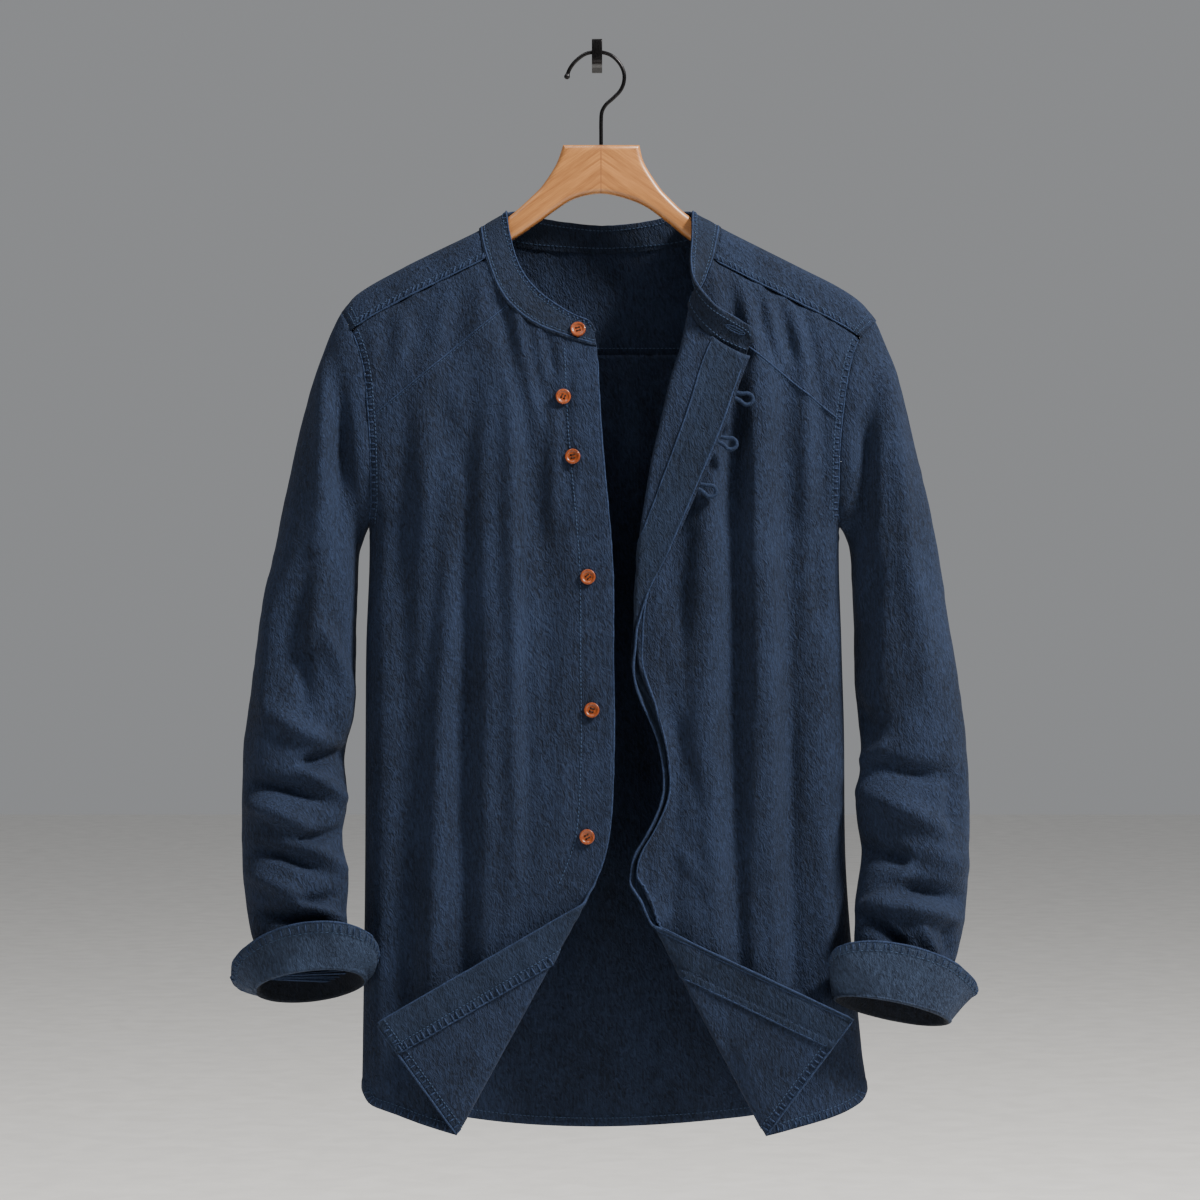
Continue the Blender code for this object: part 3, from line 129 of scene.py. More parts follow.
COLLAR_STEPS, COLLAR_RISE = 230, 16
COLLAR_OVER = 1.5     # the body's neck edge goes this far up between the collar's layers
COLLAR_CORNERS = (6.0, 8.5)     # radii of its two top corners
STITCH_LONG = 2.4
STITCH_GAP = 1.0
STITCH_THICK = 0.9    # a little thicker than real thread, so that it shows
STITCH_LIFT = 0.10    # off the cloth
EDGE_EVERY = 1.8      # points along a rolled edge

# --- tables, mm: a row for each height, point or fold -------------------------------------------
SIDES = ("right", "left")       # the wearer's
OUTWARD = {"right": -1, "left": 1}      # along X, away from the body
FRONT_PIECES = {side: ["front_" + side, "front_yoke_" + side] for side in SIDES}
CORNER_PIECES = {side: ["facing_" + side, "front_" + side] for side in SIDES}


def table(kind, *rows):
    """A table of named rows."""
    return tuple(kind(*row) for row in rows)


Torso = namedtuple("Torso", "z right left front back")   # side seams, and depth each way
TORSO = table(Torso,   # above the underarm the sides are the ones that the armhole cuts off
    (-140, -330, 336, 50, 34), (-218, -300, 306, 50, 35), (-260, -270, 278, 50, 36),
    (-300, -245, 254, 51, 36), (-350, -219, 229, 51, 36), (-385, -198, 209, 51, 36),
    (-400, -191, 203, 51, 36), (-500, -193.5, 205, 51, 35), (-565, -194, 207, 51, 34),
    (-690, -194.5, 209, 51, 33), (-837, -196.5, 222, 50, 32), (-869, -197, 226.5, 50, 32),
    (-915, -197, 229, 50, 32),
)
FRONT_SLOPE = 70.0    # how far below the shoulder the front reaches most of its depth
BACK_SLOPE = 45.0

Point = namedtuple("Point", "x z")
RIDGE = table(Point,   # top of the shoulders; between the neck points it is only a guide
    (-245, -262), (-215, -219), (-201, -203), (-163, -181), (-138, -168.5), (-97, -148.5),
    (-50, -122), (3, -102), (56, -121), (102.5, -146.5), (136, -163.5), (174, -182.5),
    (202.5, -197), (221.5, -210), (235, -226), (262, -268),
)
Armhole = namedtuple("Armhole", "z right left")
ARMHOLE = table(Armhole,
    (-216, -216, 240), (-226, -210, 234), (-241, -202.5, 220), (-263, -195.5, 211.5),
    (-292, -191.7, 206.5), (-330, -189.2, 202.5), (-378, -188.6, 201.8), (-398, -191, 203),
)
SHOULDER_Z = {"right": -218.5, "left": -226.5}
UNDERARM_Z = -398.0
YOKE_DROP = {"right": 28.0, "left": 32.0}    # front yoke seam below the ridge
YOKE_BACK_Z = -252.0
NECK_LEAN = 6.0       # how far the yoke's columns spread under the neck points
NECK_POINT = {"right": Point(-97.9, -147.9), "left": Point(102.9, -146.9)}
NECK_RIGHT = table(Point,   # neckline of the right front, from the shoulder to the front edge
    (-97.9, -147.9), (-93, -171), (-82.2, -200), (-68, -219), (-47.3, -233.2), (0, -249),
)
NECK_LEFT = table(Point,   # neckline of the left front, from the shoulder to the roll of the lapel
    (102.9, -146.9), (100.4, -162), (97, -176), (88, -198.4), (79.5, -212),
)
NECK_BACK = table(Point,   # back neckline, from the right shoulder to the left
    (-97.9, -147.9), (-97, -154), (-85, -158), (-69, -161), (-48, -164), (3, -166.5),
    (46, -164.5), (70, -161.5), (90, -157.5), (102, -153), (102.9, -146.9),
)
EDGE_RIGHT = table(Point,   # front edge of the right front, down to the corner's fold
    (0, -249), (3.3, -319), (12.5, -427), (13.3, -507), (14, -568), (12.4, -627), (8.3, -664),
    (-1, -692), (-8.3, -708.8),
)
EDGE_LEFT = table(Point,   # fold of the lapel, then the wavy front edge, down to the corner's fold
    (79.5, -212), (72.5, -245), (64, -273), (56.5, -307), (49, -341), (42.3, -382.5),
    (38.5, -410), (34, -460), (31.8, -493), (33, -517), (44, -547), (53, -579), (56.4, -607.5),
    (54, -627.5), (44, -650), (31.5, -672), (28.6, -690), (31.5, -708), (44.8, -727),
)
HEM_RIGHT = table(Point,   # from the corner's fold to the side seam
    (-115, -904), (-143, -896), (-171, -886.5), (-190, -880), (-197, -868),
)
HEM_LEFT = table(Point,
    (138.6, -904.7), (171.8, -896.4), (202.5, -887.5), (220.8, -878), (226.5, -868),
)
HEM_BACK = table(Point,
    (-197, -868), (-172, -884), (-109, -898), (-39, -905), (36, -905), (126, -897), (205, -882),
    (226.5, -868),
)
NECKS = {"right": NECK_RIGHT, "left": NECK_LEFT}
EDGES = {"right": EDGE_RIGHT, "left": EDGE_LEFT}
HEMS = {"right": HEM_RIGHT, "left": HEM_LEFT}
Lapel = namedtuple("Lapel", "z width")      # how far the left front is turned out, past its fold
LAPEL = table(Lapel,
    (-205, 59), (-255, 58.5), (-288, 55), (-329.5, 49), (-363.5, 40.5), (-417.5, 25), (-452, 11),
    (-483, 4),
)
LapelTop = namedtuple("LapelTop", "d z")    # neckline of the turned part, from the fold outwards
LAPEL_TOP = table(LapelTop,
    (0, -212), (9.5, -223), (23, -238), (37, -248), (56, -256.5), (70, -258),
)
LAPEL_LEVEL_Z = -420.0    # below this the lapel's rows run level
CURL_END_Z = -612.0   # the lapel has run out into a plain edge here
CORNER_ZONE_Z = -680.0    # what turns at the corner's fold is below this
Corner = namedtuple("Corner", "top bottom tip rise")   # fold of a turned corner, and its tip
CORNER = {
    "right": Corner(Point(-8.3, -708.8), Point(-115, -904), Point(-182, -808.5), 0.16),
    "left": Corner(Point(44.8, -727), Point(138.6, -904.7), Point(211.5, -805), 0.13),
}
FRONT_YOKE_SEAM = {   # the slanting seam under each shoulder, from the neckline to the armhole
    "right": (Point(-74, -214), Point(-188.6, -308)),
    "left": (Point(79.5, -212), Point(204, -312)),
}

Fold = namedtuple("Fold", "x_top x_low z_top z_low width out")   # a soft fold down a panel
FRONT_FOLDS = table(Fold,
    (-128, -160, -300, -900, 9, -3.2), (-112, -140, -240, -860, 11, 2.6),
    (-104, -112, -260, -880, 9, -3.0), (-72, -64, -235, -700, 11, 2.6),
    (-62, -58, -262, -690, 8, -2.6), (98, 100, -300, -900, 10, 2.8),
    (112, 120, -200, -880, 8, -3.2), (128, 134, -205, -560, 6, 2.2),
    (140, 150, -205, -890, 9, 3.0), (154, 164, -212, -880, 8, -3.2),
    (172, 178, -220, -520, 7, 2.4), (187, 190, -228, -480, 7, -2.4),
)
BACK_FOLDS = table(Fold,
    (-150, -158, -270, -900, 13, -3.2), (-118, -120, -256, -880, 12, 3.0),
    (-82, -74, -262, -890, 12, -3.0), (-40, -30, -256, -900, 14, 2.6),
    (6, 10, -260, -880, 12, -2.6), (48, 52, -256, -900, 13, 3.0), (92, 98, -260, -890, 12, -3.2),
    (136, 146, -262, -880, 12, 3.0), (170, 186, -270, -860, 11, -2.8),
)

# a tube's cross-sections: its outer and inner edge in the front view, how far each lies from the
# hanger's plane, half its depth, how much higher its front is than its middle, and how much
# lower its back is, where that is not the same
Ring = namedtuple("Ring", "outer_x outer_z inner_x inner_z outer_y inner_y depth lift dip",
                  defaults=(None,))
SLEEVE = {
    "right": table(Ring,
        (-228, -248, -195, -407, 0, 0, 38, 0), (-243, -294, -199.5, -421, 0, 0, 40, 0),
        (-257, -352, -201, -444, 0, 0, 41, 0), (-270, -414, -202, -481, -1, -1, 41, 0),
        (-281, -472, -203, -517, -2, -2, 40, 0), (-289, -530, -204, -553, -4, -4, 38, 1),
        (-296, -580, -211, -590, -7, -7, 37, 2), (-297, -626, -209, -626, -11, -11, 36, 4),
        (-297, -664, -213, -658, -15, -16, 35, 6), (-294, -702, -208, -692, -20, -22, 33, 8),
        (-288, -737, -208, -724, -24, -28, 29, 10), (-280, -766, -204, -757, -27, -33, 20, 11),
    ),
    "left": table(Ring,
        (248, -262, 208, -407, 0, 0, 38, 0), (260, -302, 212.5, -421, 0, 0, 40, 0),
        (272, -352, 214, -446, 0, 0, 41, 0), (284, -408, 215, -481, -1, -1, 41, 0),
        (293, -466, 216, -517, -2, -2, 40, 0), (302, -522, 218, -553, -4, -4, 38, 1),
        (309, -576, 221, -590, -7, -7, 37, 2), (312, -626, 217, -634, -11, -12, 36, 4),
        (311, -668, 221, -672, -15, -18, 35, 6), (308, -710, 216, -706, -20, -26, 33, 8),
        (301, -750, 214, -736, -27, -39, 26, 8), (287, -797, 209, -778, -32, -45, 18, 7),
    ),
}
# a cuff's cross-sections: the sleeve's end, the fold, half way up, and the rim
CUFF = {
    "right": table(Ring,
        (-280.2, -766.6, -203.8, -757.6, -27, -33, 20.5, 11),
        (-284, -787, -193, -776, -28, -37, 26, 15),
        (-297, -779, -184, -765, -23, -41, 32, 27, 22),
        (-306, -774, -181, -752, -20, -43, 36, 37, 30),
    ),
    "left": table(Ring,
        (287.2, -797.6, 208.8, -778.6, -32, -45, 18.5, 7),
        (292, -812, 198, -791, -31, -49, 25, 10), (306, -797, 192.5, -774, -28, -57, 30, 20, 10),
        (317, -786, 191, -757, -26, -60, 33, 28, 12),
    ),
}

# the collar band: its seam, its top edge, and how far the top edge stands back from the seam
Band = namedtuple("Band", "layer x z top_x top_z back")
COLLAR = table(Band,
    ("front", -0.5, -248.0, -4, -228, 5), ("front", -20, -242.5, -19, -222.6, 7),
    ("front", -47.3, -232.4, -38, -211, 8), ("front", -68, -218, -53, -198, 8),
    ("front", -82.2, -199.2, -65, -180, 8), ("front", -93, -170, -72.5, -155, 5),
    ("front", -96.8, -153, -75, -139, 0), ("ridge", -97.4, -147.2, -75.5, -134, 0),
    ("back", -96.6, -152.6, -74.5, -134, 0), ("back", -84.5, -157, -67, -132.5, 0),
    ("back", -69, -160, -56, -134.5, -1), ("back", -48, -163, -41, -138.8, -2),
    ("back", 3, -165.5, 5, -143.5, -2), ("back", 46, -163.5, 46, -139.5, -2),
    ("back", 70, -160.5, 62, -134.8, -1), ("back", 89.5, -156.5, 73, -132.5, 0),
    ("back", 101.6, -152, 79, -134, 0), ("ridge", 102.4, -146.2, 80, -133.7, 0),
    ("front", 101.8, -151.5, 79.5, -141, 0), ("front", 99.7, -161.7, 79, -158, -6),
    ("front", 96.2, -175.5, 77.5, -177, -12), ("front", 87.2, -197.8, 79.5, -192, -20),
    ("roll", 78, -211.5, 86, -203.5, -21), ("turned", 80, -223, 96, -214.5, -12),
    ("turned", 91.5, -237, 107, -222, -8), ("turned", 105, -247, 119, -228.5, -7),
    ("turned", 124, -255.6, 131.5, -236, -6),
)

BUTTONS = table(Point,   # places down the right front; the first is on the collar
    (-15.8, -235.7), (-28.2, -291.3), (-19.9, -341), (-7.5, -440.7), (-4.2, -551), (-8.3, -655.7),
)
BUTTON_TURNS = (0.3, 1.1, 0.15, 0.7, -0.35, 0.5)    # radians, each on its own thread
LOOP_HEIGHTS = (-290.5, -327, -366)
LOOP_OUTLINE = table(Point,   # from the lapel's edge: out, across
    (0.55, 2.2), (5.6, 3.0), (10.2, 4.7), (14.2, 3.4), (15.8, 0), (14.2, -3.4), (10.2, -4.7),
    (5.6, -3.0), (0.55, -2.2),
)
HOOK_PATH = table(Point,   # hanger hook, from its tip to the wood
    (-25.6, -22.5), (-24.6, -18), (-22.4, -13), (-18, -7.4), (-11, -2.0), (-4, 0.1), (4, 0.1),
    (12, -2.6), (18.6, -8.8), (22.4, -16.5), (22.6, -24.5), (19.6, -32), (13.5, -38.5),
    (7.6, -43.8), (4.1, -50), (3.4, -58), (3.4, -68), (3.4, -77.5),
)
HANGER_MIDDLE_TOP = table(Point,   # upper edge of the wood between its two arms
    (-76, -139.6), (-53, -119.5), (-44, -109.5), (-34, -93.5), (-28.5, -78), (35.5, -78),
    (39.5, -93), (50, -110), (59.5, -121.5), (80, -139.6),
)
HANGER_MIDDLE_LOW = table(Point,
    (79, -158.5), (60.6, -144), (42, -130.3), (24, -122.8), (3.3, -118.7), (-18.3, -122.8),
    (-34, -132), (-50.6, -144), (-72.2, -158.5),
)
HANGER_ARM_X = {"right": (-105, -130, -155, -180, -198), "left": (110, 135, 160, 185, 205, 217)}
HANGER_ARM_HEIGHT = 20.0

# --- curves through tables ----------------------------------------------------------------------
def follow(rows, key, value, at):
    """Column `value` where column `key` is `at`, on a smooth curve through the rows."""
    keys = np.array([getattr(row, key) for row in rows], dtype=float)
    values = np.array([getattr(row, value) for row in rows], dtype=float)
    if keys[0] > keys[-1]:
        keys, values = keys[::-1], values[::-1]
    slopes = np.empty(len(keys))
    slopes[1:-1] = (values[2:] - values[:-2]) / (keys[2:] - keys[:-2])
    slopes[0] = (values[1] - values[0]) / (keys[1] - keys[0])
    slopes[-1] = (values[-1] - values[-2]) / (keys[-1] - keys[-2])
    at = np.clip(np.asarray(at, dtype=float), keys[0], keys[-1])
    i = np.clip(np.searchsorted(keys, at) - 1, 0, len(keys) - 2)
    span = keys[i + 1] - keys[i]
    t = (at - keys[i]) / span
    return ((2 * t**3 - 3 * t**2 + 1) * values[i] + (t**3 - 2 * t**2 + t) * slopes[i] * span
            + (3 * t**2 - 2 * t**3) * values[i + 1] + (t**3 - t**2) * slopes[i + 1] * span)


def spline(points, per_span=8):
    """A smooth run of points through the given ones."""
    given = [np.array(p, dtype=float) for p in points]
    out = []
    for i in range(len(given) - 1):
        before, after = given[max(i - 1, 0)], given[min(i + 2, len(given) - 1)]
        for step in range(per_span):
            t = step / per_span
            a, b = (given[i + 1] - before) / 2, (after - given[i]) / 2
            out.append((2 * t**3 - 3 * t**2 + 1) * given[i] + (t**3 - 2 * t**2 + t) * a
                       + (3 * t**2 - 2 * t**3) * given[i + 1] + (t**3 - t**2) * b)
    return np.array(out + [given[-1]])


def lengths(run):
    """How far along a run each of its points is."""
    steps = np.linalg.norm(np.diff(np.asarray(run, dtype=float), axis=0), axis=1)
    return np.concatenate(([0.0], np.cumsum(steps)))


def at_lengths(run, places):
    """Points at the given lengths along a run."""
    run, reach = np.asarray(run, dtype=float), lengths(run)
    return np.stack([np.interp(places, reach, run[:, k]) for k in range(run.shape[1])], axis=1)


def along(run, shares):
    """Points at the given shares (0 to 1) of a run's length."""
    return at_lengths(run, np.asarray(shares) * lengths(run)[-1])


def in_step(run, shares):
    """Points at the given shares (0 to 1) of a run's own count of points."""
    run = np.asarray(run, dtype=float)
    at = np.asarray(shares) * (len(run) - 1)
    return np.stack([np.interp(at, range(len(run)), run[:, k]) for k in range(run.shape[1])],
                    axis=1)


def soft_step(low, high, at):
    """0 up to `low`, 1 from `high` on, and a smooth rise between them."""
    t = np.clip((np.asarray(at, dtype=float) - low) / (high - low), 0.0, 1.0)
    return t * t * (3 - 2 * t)


def bell(at, middle, width):
    """1 in the middle, falling to nothing on both sides."""
    return np.exp(-((at - middle) / width) ** 2)


def unit(way):
    """A direction, 1 long."""
    return way / np.linalg.norm(way)


def turns(count):
    """Even angles, once round."""
    return 2 * math.pi * np.arange(count) / count


def lattice(i, j, seed):
    """A fixed number from -1 to 1 for each lattice point."""
    return (np.sin(i * 127.1 + j * 311.7 + seed * 74.7) * 43758.5453) % 1.0 * 2 - 1


def noise(u, v, seed):
    """Smooth noise from -1 to 1, with one bump in each unit square."""
    u, v = np.asarray(u, dtype=float), np.asarray(v, dtype=float)
    i, j = np.floor(u), np.floor(v)
    a, b = soft_step(0, 1, u - i), soft_step(0, 1, v - j)
    return ((lattice(i, j, seed) * (1 - a) + lattice(i + 1, j, seed) * a) * (1 - b)
            + (lattice(i, j + 1, seed) * (1 - a) + lattice(i + 1, j + 1, seed) * a) * b)


def near(flat, run):
    """Distance from each flat point to a run, and how far along the run that is."""
    best = np.full(len(flat), 1e9)
    place = np.zeros(len(flat))
    reach = lengths(run)
    for k in range(len(run) - 1):
        a, b = run[k], run[k + 1]
        step = b - a
        long = max(float(np.dot(step, step)), 1e-9)
        t = np.clip(((flat - a) @ step) / long, 0, 1)
        away = np.linalg.norm(flat - (a + t[:, None] * step), axis=1)
        closer = away < best
        best = np.where(closer, away, best)
        place = np.where(closer, reach[k] + t * math.sqrt(long), place)
    return best, place


def offset(run, off):
    """A run moved sideways by a distance: to the left of its own direction for a plus."""
    run = np.asarray(run, dtype=float)
    step = np.gradient(run, axis=0)
    step /= np.maximum(np.linalg.norm(step, axis=1), 1e-9)[:, None]
    return run + np.stack((-step[:, 1], step[:, 0]), axis=1) * off


# --- listed creases -----------------------------------------------------------------------------
def crease_out(creases, x, z):
    """How far the listed creases stand out (or sink, for a minus) at places in the front view."""
    out = np.zeros_like(x)
    for c in creases:
        step = np.array((c.x2 - c.x1, c.z2 - c.z1), dtype=float)
        long = np.dot(step, step)
        t = ((x - c.x1) * step[0] + (z - c.z1) * step[1]) / long
        inside = np.clip(t, 0, 1)
        bow = c.bow * 4 * inside * (1 - inside) / math.sqrt(long)
        away = np.hypot(x - (c.x1 + inside * step[0] - bow * step[1]),
                        z - (c.z1 + inside * step[1] + bow * step[0]))
        ends = np.clip(np.sin(math.pi * inside), 0.0, 1.0) ** 0.5
        out += c.out * bell(away, 0, c.width) * (0.25 + 0.75 * ends)
    return out


# --- the torso's surface ------------------------------------------------------------------------
def ridge_z(x):
    """Height of the shoulders' top."""
    return follow(RIDGE, "x", "z", x)


def side_share(x, z):
    """1 in the middle of the torso, falling to 0 at its side seam."""
    right, left = follow(TORSO, "z", "right", z), follow(TORSO, "z", "left", z)
    half = (left - right) / 2 - SIDE_MARGIN
    u = np.minimum(np.abs(x - (left + right) / 2) / half, 1.0)
    return (1 - u**SIDE_POWER) ** (1 / SIDE_POWER)


def fold_depth(folds, x, z):
    """How far the long soft folds stand out of the plain surface."""
    out = np.zeros_like(x)
    for fold in folds:
        t = np.clip((fold.z_top - z) / (fold.z_top - fold.z_low), 0, 1)
        middle = fold.x_top + (fold.x_low - fold.x_top) * t
        out += fold.out * np.sin(math.pi * t) ** 0.6 * bell(x, middle, fold.width)
    return out


def layer_y(layer, x, z, plain=False):
    """Depth of the front or back layer's outer surface at places in the front view."""
    sign, slope, folds, creases, seed = \
        (-1, FRONT_SLOPE, FRONT_FOLDS, FRONT_CREASES, 3) if layer == "front" else \
        (1, BACK_SLOPE, BACK_FOLDS, BACK_CREASES, 8)
    x, z = np.asarray(x, dtype=float), np.asarray(z, dtype=float)
    drop = np.maximum(ridge_z(x) - z, 0.0)
    over = RIDGE_RADIUS * np.sqrt(1 - (1 - np.minimum(drop / RIDGE_RADIUS, 1.0)) ** 2)
    fall = (follow(TORSO, "z", layer, z) - RIDGE_RADIUS) * (1 - np.exp(-drop / slope))
    share = 1.0 if plain else side_share(x, z)
    depth = over * share**0.2 + fall * share
    if not plain:
        fade = soft_step(8, 45, drop) * soft_step(0.25, 0.75, share)
        ripple = 0.75 * noise(x / 15, z / 62, seed) + 0.30 * noise(x / 6, z / 17, seed + 1)
        depth = depth + fade * FOLDS_OUT * fold_depth(folds, x, z) \
            + soft_step(0.2, 0.5, share) * soft_step(3, 14, drop) \
            * (BODY_CREASES_OUT * crease_out(creases, x, z) + ripple)
    return HANGER_Y + sign * depth


def on_layer(layer, x, z):
    """Points on the front or back layer."""
    return np.stack((x, layer_y(layer, x, z), z), axis=1)


Wrinkle = namedtuple("Wrinkle", "x1 z1 x2 z2 width out bow", defaults=(0.0,))
FRONT_CREASES = table(Wrinkle,   # creases of the fronts: two ends, half width, how far out, and bow
    # long soft folds down the right front, then down the left
    (-180, -330, -182, -880, 11, 2.4), (-158, -300, -160, -860, 9, -2.8),
    (-138, -260, -139, -870, 11, 2.6), (-111, -250, -116, -880, 11, -2.6),
    (-90, -300, -93, -840, 10, 1.8), (-67, -240, -66, -700, 10, 2.4),
    (-43, -240, -44, -600, 8, -2.0), (64, -330, 63, -780, 10, -2.8),
    (87, -250, 84, -800, 10, 2.6), (110, -220, 111, -860, 11, -2.8),
    (140, -230, 134, -860, 12, 2.8), (166, -240, 166, -880, 11, -2.6),
    (189, -260, 191, -880, 9, 2.0),
    # under the right yoke seam
    (-110, -203, -123, -262, 9, -2.2), (-126, -209, -132, -246, 6, 1.3),
    (-146, -214, -150, -262, 8, -1.7), (-160, -219, -167, -268, 7, 1.4),
    (-172, -224, -176, -262, 6, -1.2), (-96, -196, -101, -246, 6, 1.2),
    (-186, -228, -187, -300, 5, 1.2),
    # out of the right neckline
    (-83, -205, -66, -300, 8, -3.0, 3), (-66, -222, -50, -330, 7, 2.4, 4),
    (-60, -228, -47, -296, 5, -2.0), (-48, -237, -42, -283, 4, 1.5),
    (-42, -240, -34, -275, 3.5, -1.3), (-30, -246, -29, -281, 3.5, 1.0),
    (-53, -300, -49, -420, 9, -2.6, -2), (-36, -300, -37, -400, 7, 1.6),
    # chest and side of the right front
    (-133, -290, -113, -360, 10, -2.4, 4), (-150, -300, -140, -420, 9, 1.5),
    (-121, -340, -118, -470, 9, -1.4), (-97, -330, -100, -460, 10, 1.6),
    (-158, -395, -176, -470, 7, -1.5), (-120, -520, -127, -640, 9, -1.3),
    (-84, -470, -86, -600, 9, 1.3), (-60, -520, -58, -680, 8, -1.4),
    (-33, -430, -38, -560, 6, -0.9), (-145, -620, -151, -760, 9, 1.3),
    (-100, -640, -104, -790, 10, -1.4), (-70, -700, -79, -800, 8, 1.2),
    (-168, -700, -172, -830, 7, -1.2), (-26, -600, -34, -700, 6, 1.0),
    (-21, -262, -27, -330, 3.5, -1.1), (-14, -350, -25, -436, 4, 0.9),
    # under the left yoke seam
    (112, -196, 124, -262, 6, -2.4, -2), (120, -200, 135, -272, 5, 1.8),
    (133, -205, 146, -262, 5, -2.0), (141, -208, 156, -268, 5, 1.8),
    (152, -212, 164, -262, 5, -2.0), (163, -216, 172, -260, 5, 1.6),
    (174, -221, 180, -266, 5, -1.6), (186, -228, 190, -282, 5, 1.2),
    (98, -187, 104, -240, 6, 1.6),
    # chest and side of the left front
    (118, -300, 104, -400, 8, -2.2), (136, -330, 124, -440, 8, 1.8),
    (150, -320, 146, -420, 7, -1.6), (98, -350, 90, -470, 9, 1.5), (76, -400, 70, -500, 7, -2.2),
    (62, -470, 66, -560, 7, 1.5), (174, -400, 188, -480, 7, -1.5),
    (110, -470, 104, -600, 10, -1.5), (134, -500, 130, -660, 9, 1.4),
    (160, -560, 156, -700, 9, -1.4), (80, -600, 84, -720, 8, -1.5),
    (100, -660, 112, -790, 9, 1.3), (140, -690, 150, -830, 9, -1.3),
    (186, -640, 192, -780, 7, 1.2), (66, -560, 88, -640, 7, -1.6), (58, -655, 92, -700, 6, 1.2),
)
BACK_CREASES = table(Wrinkle,   # the same for the back
    (-176, -300, -150, -380, 12, -2.2), (-185, -390, -150, -450, 10, 1.8),
    (182, -300, 152, -390, 12, -2.0), (190, -400, 160, -470, 10, 1.6),
    (-60, -256, -66, -340, 9, -1.8), (-20, -256, -16, -330, 8, 1.4),
    (36, -256, 40, -350, 9, -1.6), (84, -256, 80, -320, 8, 1.4),
    (-120, -480, -126, -620, 11, -1.6), (-70, -560, -60, -720, 12, 1.6),
    (10, -520, 4, -690, 11, -1.5), (60, -600, 70, -760, 12, 1.5),
    (130, -520, 126, -680, 11, -1.6), (-160, -700, -150, -840, 10, 1.4),
    (-20, -740, -30, -870, 10, -1.4), (170, -690, 180, -830, 10, 1.4),
)
SLEEVE_CREASES = {    # on a sleeve's front half
    "right": table(Wrinkle,
        (-220, -240, -209, -420, 9, -2.2), (-212, -270, -207, -400, 9, -2.4),
        (-226, -262, -230, -420, 8, 1.6), (-240, -420, -262, -540, 12, -1.6),
        (-226, -430, -240, -500, 8, 1.5), (-273, -440, -276, -600, 9, 1.0),
        # a hollow above the elbow, inside the bend of a long ridge
        (-246, -500, -240, -550, 11, -2.6), (-227, -480, -208, -534, 7, 2.6),
        (-208, -530, -214, -572, 7, 2.2), (-268, -553, -217, -580, 8, 2.6, -3),
        # folds pushed up over the turned cuff: each ridge runs down to the inner side
        (-207, -586, -246, -595, 5.5, -3.4, 2), (-246, -600, -208, -629, 6, 2.8, 2),
        (-221, -628, -289, -612, 6, -3.2, -3), (-288, -630, -236, -652, 8, 2.8, 3),
        (-212, -651, -248, -658, 4.5, -3.2, 2), (-246, -661, -209, -687, 5.5, 2.6, 2),
        (-222, -684, -286, -668, 6, -3.2, -3), (-285, -688, -244, -709, 7, 2.2, 2),
        (-216, -704, -246, -708, 4.5, -2.8, 2), (-244, -711, -209, -727, 5, 2.4),
        (-224, -731, -284, -719, 5.5, -3.0, -2), (-270, -734, -262, -752, 4, 1.2),
        (-250, -738, -246, -756, 4, 1.2),
    ),
    "left": table(Wrinkle,
        (231, -238, 217, -430, 9, -2.6), (246, -250, 262, -470, 8, 1.4),
        (222, -300, 219, -440, 9, -2.4), (262, -430, 276, -540, 11, 1.2),
        (232, -430, 213, -530, 9, -1.8),
        # a deep hollow at the elbow, with the cloth drawn from under it to the outer side
        (208, -546, 230, -572, 12, -3.6, -4), (210, -600, 243, -576, 6, 2.6, -2),
        (226, -595, 296, -604, 8, -2.8, -4), (298, -606, 293, -652, 7, -1.6),
        (208, -614, 292, -656, 10, 3.0, 4), (214, -668, 258, -677, 8, -3.8, 2),
        (266, -664, 306, -682, 9, 1.8), (258, -682, 210, -722, 5.5, 2.6, 4),
        (244, -697, 306, -709, 6.5, -3.2, 3), (226, -712, 300, -727, 7, 2.6, 3),
        (216, -718, 254, -746, 5, -3.0), (268, -730, 279, -754, 4, 1.6),
        (288, -728, 294, -756, 4.5, -1.4), (240, -752, 262, -764, 4, 1.4),
    ),
}
SLEEVE_BACK_CREASES = {   # and on its back half
    "right": table(Wrinkle,
        (-214, -420, -260, -480, 12, -2.6), (-210, -520, -270, -560, 10, 2.6),
        (-212, -570, -280, -610, 9, -3.6), (-216, -610, -284, -640, 8, 3.0),
        (-214, -648, -282, -664, 7, -3.6), (-220, -690, -280, -700, 7, 2.8),
    ),
    "left": table(Wrinkle,
        (226, -430, 270, -500, 12, -2.6), (222, -530, 284, -570, 10, 2.6),
        (224, -590, 296, -610, 9, -3.6), (226, -628, 300, -650, 8, 3.0),
        (228, -668, 296, -690, 7, -3.6), (230, -710, 292, -730, 7, 2.8),
    ),
}
FLAP_CREASES = table(Wrinkle,   # on the turned corners, in the front view
    (-150, -792, -96, -842, 12, 1.6), (-120, -760, -72, -806, 10, -1.4),
    (-160, -836, -122, -886, 8, -1.2), (-60, -745, -40, -786, 8, 1.2),
    (176, -792, 120, -838, 12, 1.6), (140, -764, 90, -806, 10, -1.4),
    (186, -830, 150, -884, 8, -1.2), (84, -748, 66, -782, 8, 1.2),
)

# --- finishes -----------------------------------------------------------------------------------
FINISHES = {}


def linear(code):
    """Linear colour from an sRGB hex code."""
    parts = [int(code[i:i + 2], 16) / 255 for i in (1, 3, 5)]
    return tuple(p / 12.92 if p <= 0.04045 else ((p + 0.055) / 1.055) ** 2.4 for p in parts) \
        + (1.0,)


# --- sheets of cloth ----------------------------------------------------------------------------
Piece = namedtuple("Piece", "obj flat points normals wall faces")
PIECES, TREES = {}, {}


